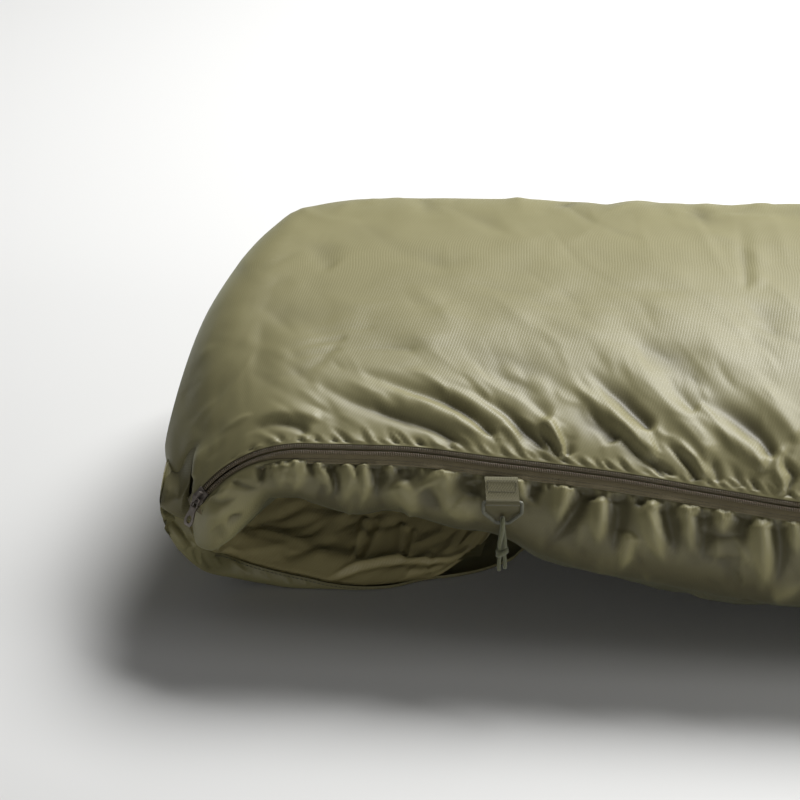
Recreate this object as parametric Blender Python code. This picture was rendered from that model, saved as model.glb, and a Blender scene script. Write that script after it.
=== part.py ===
"""Bivy sack, lofted and lying on its floor panel, with its hood tucked under the head end.

Frame: metres, +Z up, X along the sack (head end at -X, foot end at +X), the zip on the -Y side.
The origin is the middle of the bounding box's bottom. Every fabric panel is its own thick shell.
"""

import math

import bmesh
import bpy
import numpy as np
from mathutils import Matrix, Vector

# ---------------------------------------------------------------- driving sizes
LENGTH = 1.90          # laid length, head fold to foot
FABRIC = 0.003         # thickness given to a fabric panel
GAP = 0.0006           # clearance between touching pieces
SKEW, SKEW_Y = 0.174, 0.306   # the head fold runs at a slant across the sack
ZIP_TILT = math.radians(38)   # how far the zip's face looks up
ARC_R = 0.113          # radius of the zip's turn at the head end
ARC_X, ARC_Y, ARC_Z = -0.780, -0.292, 0.204   # top of that turn
ARC_END = math.radians(64)    # where the tapes end past the slider
SLIDER_AT = math.radians(56.3)  # the slider's middle, closed
ZIP_FOOT_X = 0.50      # foot end of the zip
TAPE_IN, TAPE_OUT, TAPE_T = 0.0010, 0.0130, 0.0009
COIL_IN, COIL_OUT = 0.0008, 0.0043
COIL_LO, COIL_HI = 0.00075, 0.0029
WEB_W, WEB_L = 0.030, 0.024   # anchor tab: webbing width and free length
WIRE_R = 0.00175       # ring wire
CORD_R = 0.0019        # tie cord
TAB_LIFT = 0.0052      # a tab stands this far off the seam it is sewn in
RING_OFF = 0.0078      # how far a ring hangs off the side
CORNER_DROP = 0.120    # fall of the near corner at the head end
LOW_FULL = 1.85        # how full the side is below its widest line
HOOD_LEN = 0.36        # how far the folded hood reaches back under the sack

X0 = -LENGTH / 2
CENTRE_X, CENTRE_Y = -0.0063, 0.0180   # brings the bounding box's middle to the origin


def clear_scene():
    for obj in list(bpy.data.objects):
        bpy.data.objects.remove(obj, do_unlink=True)


# ---------------------------------------------------------------- curves through a few points
def through(x, xs, ys):
    """A smooth curve through the points, with no overshoot between them."""
    xs, ys = np.array(xs, float), np.array(ys, float)
    x = np.asarray(x, float)
    h, d = np.diff(xs), np.diff(ys) / np.diff(xs)
    m = np.zeros(len(xs))
    for i in range(1, len(xs) - 1):
        if d[i - 1] * d[i] > 0:
            w1, w2 = 2 * h[i] + h[i - 1], h[i] + 2 * h[i - 1]
            m[i] = (w1 + w2) / (w1 / d[i - 1] + w2 / d[i])
    m[0], m[-1] = d[0], d[-1]
    i = np.clip(np.searchsorted(xs, x) - 1, 0, len(xs) - 2)
    t = (x - xs[i]) / h[i]
    return (
        ys[i] * (1 + 2 * t) * (1 - t) ** 2
        + m[i] * h[i] * t * (1 - t) ** 2
        + ys[i + 1] * t * t * (3 - 2 * t)
        + m[i + 1] * h[i] * t * t * (t - 1)
    )


def rounding(s, reach, power):
    return (1 - (1 - np.clip(s / reach, 0, 1)) ** power) ** (1 / power)


# ---------------------------------------------------------------- the lofted outside
def loft(s, t, inset=0.0):
    """A point of the outside. s is metres from the head end, t the angle round the section:
    0 is the top, +90 degrees the zip side, 180 the underside and -90 the far side."""
    s, t = np.asarray(s, float), np.asarray(t, float)
    near = through(s, [0, 0.2, 0.45, 0.7, 1.0, 1.4, 1.7, 1.9], [0.306, 0.308, 0.340, 0.362, 0.372, 0.345, 0.285, 0.245]) - inset
    far = through(s, [0, 0.2, 0.45, 0.7, 1.0, 1.4, 1.7, 1.9], [0.300, 0.300, 0.320, 0.330, 0.335, 0.315, 0.265, 0.235]) - inset
    top = through(s, [0, 0.2, 0.5, 0.8, 1.1, 1.4, 1.7, 1.9], [0.256, 0.264, 0.270, 0.273, 0.272, 0.262, 0.240, 0.225]) - inset
    low = through(s, [0, 0.2, 0.45, 0.6, 1.0, 1.9], [0.100, 0.098, 0.030, 0.0, 0.0, 0.0]) + inset
    head, head_w = rounding(s, 0.081, 2.15), 0.30 + 0.70 * rounding(s, 0.146, 2.25)
    foot, foot_w = rounding(LENGTH - s, 0.12, 2.4), 0.35 + 0.65 * rounding(LENGTH - s, 0.10, 2.4)
    mid = low + (top - low) * 0.46
    high, bottom = mid + (top - mid) * head * foot, mid - (mid - low) * head * foot
    near, far = near * head_w * foot_w, far * head_w * foot_w
    sin, cos = np.sin(t), np.cos(t)
    plump = np.where(cos > 0, 2 / 2.25, 2 / LOW_FULL)
    y = -np.where(sin > 0, near, far) * np.sign(sin) * np.abs(sin) ** plump
    z = np.where(cos > 0, mid + (high - mid) * np.abs(cos) ** (2 / 2.1), mid - (mid - bottom) * np.minimum(1.04 * np.abs(cos) ** (2 / 2.6), 1))
    # the corner by the zip's head end falls away
    corner = np.clip(-y / 0.3, 0, 1) ** 2 * np.clip(1 - s / 0.159, 0, 1) ** 2
    z = z - CORNER_DROP * corner * np.clip((z - 0.12) / 0.1, 0, 1)
    x = X0 + s + SKEW * (y + SKEW_Y) * np.clip(1 - s / 0.55, 0, 1) ** 1.36
    return np.stack(np.broadcast_arrays(x, y, z), -1)


# ---------------------------------------------------------------- the zip's line
ZIP_X = [ARC_X, -0.70, -0.60, -0.50, -0.40, -0.33, -0.20, -0.10, 0.05, 0.20, 0.35, 0.50, 0.60]
ZIP_Y = [ARC_Y, -0.293, -0.302, -0.313, -0.3265, -0.337, -0.350, -0.357, -0.3627, -0.3598, -0.3488, -0.332, -0.313]
ZIP_Z = [ARC_Z, 0.2035, 0.1975, 0.191, 0.181, 0.175, 0.170, 0.167, 0.163, 0.159, 0.155, 0.150, 0.146]


def zip_line(x):
    """The straight run of the zip, as a point for each x."""
    return np.array([x, float(through(x, ZIP_X, ZIP_Y)), float(through(x, ZIP_X, ZIP_Z))])


def zip_tilt(x):
    """How far the zip's face looks up along the straight run."""
    return math.radians(float(through(x, [ARC_X, -0.60, -0.40, -0.20, 0.05, 0.60], [math.degrees(ZIP_TILT), 44, 42, 37, 31, 26])))


def zip_frame(u):
    """Centre, run direction (towards the foot), cross direction (upwards) and face normal of the zip.
    A negative u is an angle round the head turn; a positive u is metres along X past it."""
    if u <= 0:
        a = -u
        out = np.array([-math.sin(a), 0.0, math.cos(a)])
        centre = np.array([ARC_X, ARC_Y, ARC_Z - ARC_R]) + ARC_R * out
        run = np.array([math.cos(a), 0.0, math.sin(a)])
        cross = math.cos(ZIP_TILT) * out + math.sin(ZIP_TILT) * np.array([0, 1.0, 0])
    else:
        centre = zip_line(ARC_X + u)
        run = zip_line(ARC_X + u + 0.004) - zip_line(ARC_X + max(u - 0.004, 0))
        run /= np.linalg.norm(run)
        tilt = zip_tilt(ARC_X + u)
        cross = np.array([0.0, math.sin(tilt), math.cos(tilt)])
        cross -= run * (cross @ run)
        cross /= np.linalg.norm(cross)
    face = np.cross(run, cross)
    if face[1] > 0:
        face = -face
    return centre, run, cross, face


def zip_stations(start, end_x, arc_step=4.0, step=0.045):
    """u values from an angle on the turn to an x on the straight."""
    arc = list(np.arange(-math.degrees(start), 0.01, arc_step))
    runs = max(1, round((end_x - ARC_X) / step))
    return [math.radians(a) for a in arc if a < -0.5] + [0.0] + [(end_x - ARC_X) * (i + 1) / runs for i in range(runs)]


# ---------------------------------------------------------------- mesh helpers
def new_object(name, bm, material, smooth=40):
    bmesh.ops.recalc_face_normals(bm, faces=bm.faces[:])
    if bm.calc_volume(signed=True) < 0:
        bmesh.ops.reverse_faces(bm, faces=bm.faces[:])
    mesh = bpy.data.meshes.new(name)
    bm.to_mesh(mesh)
    bm.free()
    obj = bpy.data.objects.new(name, mesh)
    bpy.context.scene.collection.objects.link(obj)
    obj.data.materials.append(material)
    mesh.shade_smooth()
    mesh.set_sharp_from_angle(angle=math.radians(smooth))
    return obj


def thick_patch(name, outer, inner, material, wrap=False):
    """A closed slab between two grids of points; wrap joins the last column to the first and caps the last row."""
    bm = bmesh.new()
    rows, cols = outer.shape[:2]
    a = [[bm.verts.new(outer[i, j]) for j in range(cols)] for i in range(rows)]
    b = [[bm.verts.new(inner[i, j]) for j in range(cols)] for i in range(rows)]
    last = cols if wrap else cols - 1
    for i in range(rows - 1):
        for j in range(last):
            k = (j + 1) % cols
            bm.faces.new((a[i][j], a[i][k], a[i + 1][k], a[i + 1][j]))
            bm.faces.new((b[i][j], b[i + 1][j], b[i + 1][k], b[i][k]))
    if wrap:
        for grid in (a, b):
            hub = bm.verts.new(np.mean([v.co for v in grid[-1]], axis=0))
            for j in range(cols):
                bm.faces.new((grid[-1][j], grid[-1][(j + 1) % cols], hub))
        for j in range(cols):
            k = (j + 1) % cols
            bm.faces.new((a[0][j], b[0][j], b[0][k], a[0][k]))
    else:
        for j in range(cols - 1):
            bm.faces.new((a[0][j], b[0][j], b[0][j + 1], a[0][j + 1]))
            bm.faces.new((a[-1][j], a[-1][j + 1], b[-1][j + 1], b[-1][j]))
        for i in range(rows - 1):
            bm.faces.new((a[i][0], a[i + 1][0], b[i + 1][0], b[i][0]))
            bm.faces.new((a[i][-1], b[i][-1], b[i + 1][-1], a[i + 1][-1]))
    return new_object(name, bm, material)


def sweep(name, frames, section, material, caps=True):
    """A solid whose section, (across, out) pairs, is carried along zip frames."""
    bm = bmesh.new()
    rings = []
    for centre, run, cross, face in frames:
        rings.append([bm.verts.new(centre + cross * p + face * q) for p, q in section])
    n = len(section)
    for r0, r1 in zip(rings, rings[1:]):
        for j in range(n):
            k = (j + 1) % n
            bm.faces.new((r0[j], r0[k], r1[k], r1[j]))
    if caps:
        bm.faces.new(rings[0])
        bm.faces.new(rings[-1])
    return new_object(name, bm, material, smooth=50)


def box_bm(bm, x, y, z, matrix=None):
    """Adds a box between the given pairs of coordinates."""
    made = bmesh.ops.create_cube(bm, size=1.0)["verts"]
    for v in made:
        v.co = Vector((x[0] if v.co.x < 0 else x[1], y[0] if v.co.y < 0 else y[1], z[0] if v.co.z < 0 else z[1]))
    if matrix is not None:
        bmesh.ops.transform(bm, matrix=matrix, verts=made)
    return made


def cylinder(name, axis_from, axis_to, radius, sides, material):
    a, b = Vector(axis_from), Vector(axis_to)
    bm = bmesh.new()
    bmesh.ops.create_cone(bm, cap_ends=True, segments=sides, radius1=radius, radius2=radius, depth=(b - a).length)
    rot = (b - a).to_track_quat("Z", "Y").to_matrix().to_4x4()
    bmesh.ops.transform(bm, matrix=Matrix.Translation((a + b) / 2) @ rot, verts=bm.verts[:])
    return new_object(name, bm, material)


def helper(obj):
    obj.hide_render = True
    obj.display_type = "WIRE"
    return obj


def boolean(obj, other, operation):
    mod = obj.modifiers.new(operation.title(), "BOOLEAN")
    mod.operation = operation
    mod.solver = "EXACT"
    mod.object = other


def material(name, colour, roughness, metallic=0.0):
    mat = bpy.data.materials.new(name)
    mat.use_nodes = True
    shader = mat.node_tree.nodes["Principled BSDF"]
    shader.inputs["Base Color"].default_value = (*colour, 1)
    shader.inputs["Roughness"].default_value = roughness
    shader.inputs["Metallic"].default_value = metallic
    return mat


def frame_matrix(origin, ex, ey, ez):
    return Matrix(((ex[0], ey[0], ez[0], origin[0]), (ex[1], ey[1], ez[1], origin[1]), (ex[2], ey[2], ez[2], origin[2]), (0, 0, 0, 1)))


# ---------------------------------------------------------------- fabric shells
NEAR_SEAM, FAR_SEAM, FAR_TOP = math.radians(116), math.radians(-116), math.radians(-72)
SEAM_GAP = math.radians(0.6)
TURN_X = ARC_X - ARC_R * math.sin(ARC_END + math.radians(2.2))   # the panels open round the zip from here


def station_at(x, angle=math.radians(68)):
    """The station whose section passes through x at that angle."""
    s = x - X0
    for _ in range(60):
        s -= 0.6 * (float(loft(s, angle)[0]) - x)
    return s


STATIONS = [0.012, 0.03, station_at(TURN_X), 0.056, 0.067, 0.080, 0.10, 0.12, 0.14, 0.165, 0.21, 0.28, 0.36, 0.45, 0.55, 0.64, 0.73, 0.82, 0.91, 1.00, 1.09, 1.18, 1.27, 1.35, 1.42, 1.468, 1.50, 1.62, 1.72, 1.80, 1.85, 1.875]


def zip_u_for(s):
    """The zip parameter beside a station, by its x; beyond the slider it stays at the tape's end."""
    x = float(loft(s, math.radians(68))[0])
    if x >= ARC_X:
        return min(x, ZIP_FOOT_X) - ARC_X
    a = math.asin(min(0.999, (ARC_X - x) / ARC_R))
    return -min(a, ARC_END)


def edge_along_zip(s, side):
    """Where a panel's edge lies beside the zip: side +1 is above it, -1 below it.
    Past either end of the zip the two panels meet in a plain seam on the loft."""
    x = float(loft(s, math.radians(68))[0])
    if TURN_X - 1e-5 <= x <= ZIP_FOOT_X + 0.02:
        u = zip_u_for(s)
        c, run, cross, face = zip_frame(u)
        return c + cross * side * (TAPE_OUT + (0.0019 if u > 0 else 0.0034)) + face * 0.0012
    if x < TURN_X:
        seam = math.radians(100)
    else:
        # follows on from the foot end of the zip
        seam = math.radians(float(through(x, [ZIP_FOOT_X, ZIP_FOOT_X + 0.15, 0.95], [78.5, 80.0, 88.0])))
    p = loft(s, seam)
    q = loft(s, seam - side * math.radians(3))
    d = q - p
    return p + d / max(np.linalg.norm(d), 1e-9) * 0.0012


def nearest_angle(s, point):
    """The section angle at which the loft comes nearest to a point."""
    ts = np.radians(np.arange(-180.0, 180.0, 0.25))
    return float(ts[np.argmin(np.linalg.norm(loft(np.full(len(ts), s), ts) - point, axis=1))])


def inner_station(s):
    """The station of the shell's inner face, which also steps in from both ends."""
    return s + 1.2 * FABRIC * np.clip(1 - s / 0.08, 0, 1) - 1.2 * FABRIC * np.clip(1 - (LENGTH - s) / 0.08, 0, 1)


def panel_between(name, mat, stations, edge, a_t, b_t, count):
    """A panel from section angle a_t, or from the given edge points, to b_t."""
    outer, inner = np.zeros((2, len(stations), count, 3))
    share = np.linspace(0, 1, count)
    for i, s in enumerate(stations):
        start = a_t if edge is None else nearest_angle(s, edge[i])
        ts = start + (b_t - start) * share
        row = loft(np.full(count, s), ts)
        row_in = loft(np.full(count, inner_station(s)), ts, inset=FABRIC)
        if edge is not None:
            shift = ((1 - share) ** 3)[:, None] * (edge[i] - row[0])
            row, row_in = row + shift, row_in + shift
        outer[i], inner[i] = row, row_in
    return thick_patch(name, outer, inner, mat)


def build_fabric(mats):
    up = [edge_along_zip(s, +1) for s in STATIONS]
    down = [edge_along_zip(s, -1) for s in STATIONS]
    panel_between("top_panel", mats["shell"], STATIONS, up, None, FAR_TOP, 12)
    panel_between("zip_side_wall", mats["shell"], STATIONS[1:], down[1:], None, NEAR_SEAM - SEAM_GAP, 5)
    panel_between("far_side_wall", mats["shell"], STATIONS, None, FAR_TOP - SEAM_GAP, FAR_SEAM + SEAM_GAP, 5)
    panel_between("floor_panel", mats["floor"], STATIONS, None, NEAR_SEAM, 2 * math.pi + FAR_SEAM, 9)

    # foot cap, a closed dish over the end of the tube
    foot_s = [1.8765, 1.886, 1.894, 1.899]
    ts = np.linspace(0, 2 * math.pi, 20, endpoint=False)
    outer = np.array([loft(np.full(20, s), ts) for s in foot_s])
    inner = np.array([loft(np.full(20, max(s - 0.0042, 1.8765)), ts, inset=0.0032) for s in foot_s])
    thick_patch("foot_panel", outer, inner, mats["shell"], wrap=True)

    # what fills the sack: a quilted sleeping bag, a plain core here
    core_s = [0.088, 0.097, 0.11, 0.17, 0.26, 0.38, 0.50, 0.65, 0.90, 1.20, 1.45, 1.65, 1.78, 1.84, 1.862]
    ts = np.linspace(0, 2 * math.pi, 20, endpoint=False)
    bm = bmesh.new()
    rings = []
    for k, s in enumerate(core_s):
        rings.append([bm.verts.new(p) for p in loft(np.full(20, s), ts, inset=0.019)])
    for r0, r1 in zip(rings, rings[1:]):
        for j in range(20):
            bm.faces.new((r0[j], r0[(j + 1) % 20], r1[(j + 1) % 20], r1[j]))
    bm.faces.new(rings[0])
    bm.faces.new(rings[-1])
    new_object("sleeping_bag_filling", bm, mats["lining"])


def hood_sheet(name, mat, rim, profile, near, far, inset, thick, rows, cols, last=1.0):
    """One layer of the folded hood. It leaves the rim of the sack's head opening between two section
    angles, or starts free with rim None; profile is (share, x past the head fold, z), near and far its edges."""
    vs = [p[0] for p in profile]
    share = np.linspace(0, 1, cols)
    grid = np.zeros((rows, cols, 3))
    for i, v in enumerate(np.linspace(vs[0], last, rows)):
        dx = float(through(v, vs, [p[1] for p in profile]))
        z = float(through(v, vs, [p[2] for p in profile]))
        y0 = float(through(v, *near)) + inset
        y1 = float(through(v, *far)) - inset
        y = y0 + (y1 - y0) * share
        flat = np.stack([X0 + SKEW * (y + SKEW_Y) + dx, y, np.full(cols, z)], -1)
        if rim is not None:
            start = loft(np.full(cols, 0.012), np.radians(rim[0] + (rim[1] - rim[0]) * share)) - np.array([rim[2], 0, 0])
            w = min(v / 0.20, 1)
            w = w * w * (3 - 2 * w)
            flat = start + w * (flat - start)
        grid[i] = flat
    n = np.cross(np.gradient(grid, axis=0), np.gradient(grid, axis=1))
    n /= np.maximum(np.linalg.norm(n, axis=-1, keepdims=True), 1e-12)
    inside = np.array([X0 + 0.20, 0.0, 0.06])
    flip = ((grid - inside) * n).sum(-1, keepdims=True) < 0
    n = np.where(flip, -n, n)
    return thick_patch(name, grid, grid - n * thick, mat)


def build_hood(mats):
    near = ([0.0, 0.12, 0.25, 0.40, 0.6, 0.85, 1.0], [-0.200, -0.250, -0.245, -0.215, -0.190, -0.165, -0.120])
    far = ([0.0, 0.12, 0.25, 0.40, 0.6, 0.85, 1.0], [0.200, 0.250, 0.245, 0.225, 0.205, 0.185, 0.140])
    outer = [(0.0, 0.002, 0.190), (0.10, 0.000, 0.150), (0.22, 0.007, 0.085), (0.32, 0.034, 0.026), (0.42, 0.082, 0.0), (0.7, 0.225, 0.0), (1.0, HOOD_LEN, 0.0)]
    hood_sheet("hood_outer", mats["shell"], (84, -84, 0.0042), outer, near, far, 0.0, 0.0022, 18, 11)
    inner = [(0.0, 0.016, 0.130), (0.12, 0.020, 0.085), (0.24, 0.044, 0.034), (0.36, 0.088, 0.0062), (0.7, 0.225, 0.0062), (1.0, HOOD_LEN - 0.012, 0.0062)]
    hood_sheet("hood_inner", mats["shell"], (118, 242, 0.0030), inner, near, far, 0.012, 0.0022, 16, 11)
    # the hem that the hood's cord would run in: a flat tunnel along the mouth, on the inner layer
    tunnel = [(0.80, 0.268, 0.0092), (0.90, 0.300, 0.0092), (1.0, 0.330, 0.0092)]
    hood_sheet("mouth_hem_tunnel", mats["shell"], None, tunnel, near, far, 0.022, 0.0022, 3, 7, last=0.90)


# ---------------------------------------------------------------- zip
def build_zip(mats):
    frames = [zip_frame(u) for u in zip_stations(ARC_END, ZIP_FOOT_X)]
    h = TAPE_T / 2
    sweep("zip_tape_upper", frames, [(TAPE_IN, -h), (TAPE_OUT, -h), (TAPE_OUT, h), (TAPE_IN, h)], mats["tape"])
    sweep("zip_tape_lower", frames, [(-TAPE_OUT, -h), (-TAPE_IN, -h), (-TAPE_IN, h), (-TAPE_OUT, h)], mats["tape"])
    chain = [zip_frame(u) for u in zip_stations(SLIDER_AT + 0.005, ZIP_FOOT_X - 0.012)]
    e = 0.0008
    coil = [(COIL_IN, COIL_LO), (COIL_OUT - e, COIL_LO), (COIL_OUT, COIL_LO + e), (COIL_OUT, COIL_HI - e), (COIL_OUT - e, COIL_HI), (COIL_IN, COIL_HI)]
    sweep("zip_coil_upper", chain, coil, mats["coil"])
    sweep("zip_coil_lower", chain, [(-p, q) for p, q in reversed(coil)], mats["coil"])

    # inner draft flap behind the chain
    flap = [zip_frame(u) for u in zip_stations(math.radians(33), ZIP_FOOT_X - 0.01, arc_step=4)]
    sweep("zip_draft_flap", flap, [(-0.0085, -0.0050), (0.0085, -0.0050), (0.0085, -0.0034), (-0.0085, -0.0034)], mats["floor"])

    # stops: one crimp on each tape past the slider, and a box at the foot
    c, run, cross, face = zip_frame(-(SLIDER_AT + math.radians(5.6)))
    m = frame_matrix(c, run, cross, face)
    for side, label in ((1, "upper"), (-1, "lower")):
        bm = bmesh.new()
        lo, hi = sorted((side * 0.0012, side * 0.0046))
        box_bm(bm, (-0.0016, 0.0016), (lo, hi), (h + 0.0003, 0.0030), m)
        new_object("zip_top_stop_" + label, bm, mats["metal"])
    bm = bmesh.new()
    c, run, cross, face = zip_frame(ZIP_FOOT_X - 0.008 - ARC_X)
    box_bm(bm, (-0.0035, 0.0045), (-0.0050, 0.0050), (h + 0.0003, 0.0036), frame_matrix(c, run, cross, face))
    bmesh.ops.bevel(bm, geom=bm.edges[:], offset=0.0007, segments=1, affect="EDGES")
    new_object("zip_bottom_stop", bm, mats["metal"])


def slider_frame():
    """Origin at the chain's middle under the slider; +x away from the chain, +y across, +z out of the face."""
    c, run, cross, face = zip_frame(-SLIDER_AT)
    fwd = -run
    across = np.cross(face, fwd)
    return c, fwd, across, face


def plate_outline(tail, nose, half_tail, half_nose):
    """A slider plate seen from above: narrow at the chain's side, wide and rounded at the nose."""
    pts = [(-tail, -half_tail), (-tail * 0.15, -half_tail * 1.02), (nose * 0.45, -half_nose), (nose * 0.85, -half_nose * 0.86), (nose, -half_nose * 0.45)]
    return pts + [(x, -y) for x, y in reversed(pts)]


def extrude_outline(bm, pts, z0, z1):
    low = [bm.verts.new((x, y, z0)) for x, y in pts]
    high = [bm.verts.new((x, y, z1)) for x, y in pts]
    bm.faces.new(list(reversed(low)))
    bm.faces.new(high)
    n = len(pts)
    for j in range(n):
        k = (j + 1) % n
        bm.faces.new((low[j], low[k], high[k], high[j]))


def local_object(name, bm, mats_item, frame):
    bmesh.ops.transform(bm, matrix=frame_matrix(*frame), verts=bm.verts[:])
    return new_object(name, bm, mats_item, smooth=35)


def build_slider(mats):
    frame = slider_frame()
    top_lo, top_hi, low_hi, low_lo = 0.0034, 0.0048, -0.0010, -0.0022
    bm = bmesh.new()
    extrude_outline(bm, plate_outline(0.0080, 0.0075, 0.0052, 0.0066), top_lo, top_hi)
    body = local_object("zip_slider", bm, mats["metal"], frame)

    def add(name, make):
        extra = bmesh.new()
        make(extra)
        part = helper(local_object(name, extra, mats["metal"], frame))
        boolean(body, part, "UNION")

    add("slider_lower_plate", lambda b: extrude_outline(b, plate_outline(0.0076, 0.0070, 0.0050, 0.0062), low_lo, low_hi))
    # the web that joins the plates runs between the two coils
    add("slider_web", lambda b: box_bm(b, (0.0012, 0.0058), (-0.00048, 0.00048), (low_lo + 0.0005, top_lo + 0.0006)))
    # lips of the upper plate that keep the coils in
    add("slider_lip_a", lambda b: box_bm(b, (-0.0074, 0.0022), (0.0046, 0.0054), (0.0010, top_lo + 0.0005)))
    add("slider_lip_b", lambda b: box_bm(b, (-0.0074, 0.0022), (-0.0054, -0.0046), (0.0010, top_lo + 0.0005)))
    # the bridge that carries the pull: two posts and a bar along the slider
    add("slider_post_a", lambda b: box_bm(b, (0.0045, 0.0060), (-0.0011, 0.0011), (top_hi - 0.0006, 0.0086)))
    add("slider_post_b", lambda b: box_bm(b, (-0.0062, -0.0047), (-0.0011, 0.0011), (top_hi - 0.0006, 0.0086)))
    add("slider_bar", lambda b: box_bm(b, (-0.0062, 0.0060), (-0.0011, 0.0011), (0.0078, 0.0094)))


PULL_TURN = math.radians(15)   # the pull hangs askew from the slider's own line
PULL_DROP = math.radians(4)


def pull_frame():
    """Origin on the pull's hinge bar; +x along the pull to its free end, +y along the bar, +z out."""
    c, fwd, across, face = slider_frame()
    origin = c + fwd * 0.0023 + face * 0.0064
    turn = PULL_TURN
    down = fwd * math.cos(turn) + across * math.sin(turn)
    if (fwd * math.cos(-turn) + across * math.sin(-turn))[2] < down[2]:
        down = fwd * math.cos(turn) - across * math.sin(turn)
    side = np.cross(face, down)
    along = down * math.cos(PULL_DROP) - face * math.sin(PULL_DROP)
    return origin, along, side, np.cross(along, side)


def build_pull(mats):
    frame = pull_frame()
    t = 0.0008
    bm = bmesh.new()
    outline = [(-0.0010, -0.0038), (0.0080, -0.0038), (0.0130, -0.0034), (0.0180, -0.0043), (0.0230, -0.0050), (0.0262, -0.0046), (0.0284, -0.0030)]
    outline += [(x, -y) for x, y in reversed(outline)]
    extrude_outline(bm, outline, -t, t)
    body = local_object("zip_pull", bm, mats["metal"], frame)
    cut = bmesh.new()
    box_bm(cut, (0.0010, 0.0088), (-0.0027, 0.0027), (-0.004, 0.004))
    boolean(body, helper(local_object("pull_window", cut, mats["metal"], frame)), "DIFFERENCE")
    hole = bmesh.new()
    ring = [(0.0218 + 0.0042 * math.cos(a), 0.0027 * math.sin(a)) for a in np.linspace(0, 2 * math.pi, 12, endpoint=False)]
    extrude_outline(hole, ring, -0.004, 0.004)
    boolean(body, helper(local_object("pull_eye", hole, mats["metal"], frame)), "DIFFERENCE")


# ---------------------------------------------------------------- anchor points: tab, ring, tie cord
ANCHORS = {
    # name: (x, side), side -1 is the zip side and +1 the far side
    "head_near": (-0.5985, -1),
    "foot_near": (0.300, -1),
    "head_far": (-0.5985, 1),
    "foot_far": (0.300, 1),
}


def anchor_points(x, side):
    """The tab's sewn end, its direction, and the ring bar's middle."""
    if side < 0:
        c, run, cross, face = zip_frame(x - ARC_X)
        start = c - cross * (TAPE_OUT + 0.0014) + face * TAB_LIFT
    else:
        s = x - X0
        for _ in range(20):
            s -= float(loft(s, FAR_TOP)[0]) - x
        start = loft(s, FAR_TOP)
        start = start + np.array([0, 0.0040, 0.0020])
    # out past the widest point of the side
    s = x - X0
    for _ in range(20):
        s -= float(loft(s, -side * math.pi / 2)[0]) - x
    widest = abs(float(loft(s, -side * math.pi / 2)[1])) + RING_OFF
    drop = math.sqrt(max(WEB_L ** 2 - (widest - abs(start[1])) ** 2, 0.0001))
    bar = np.array([x, side * widest, start[2] - drop])
    return start, bar


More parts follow.
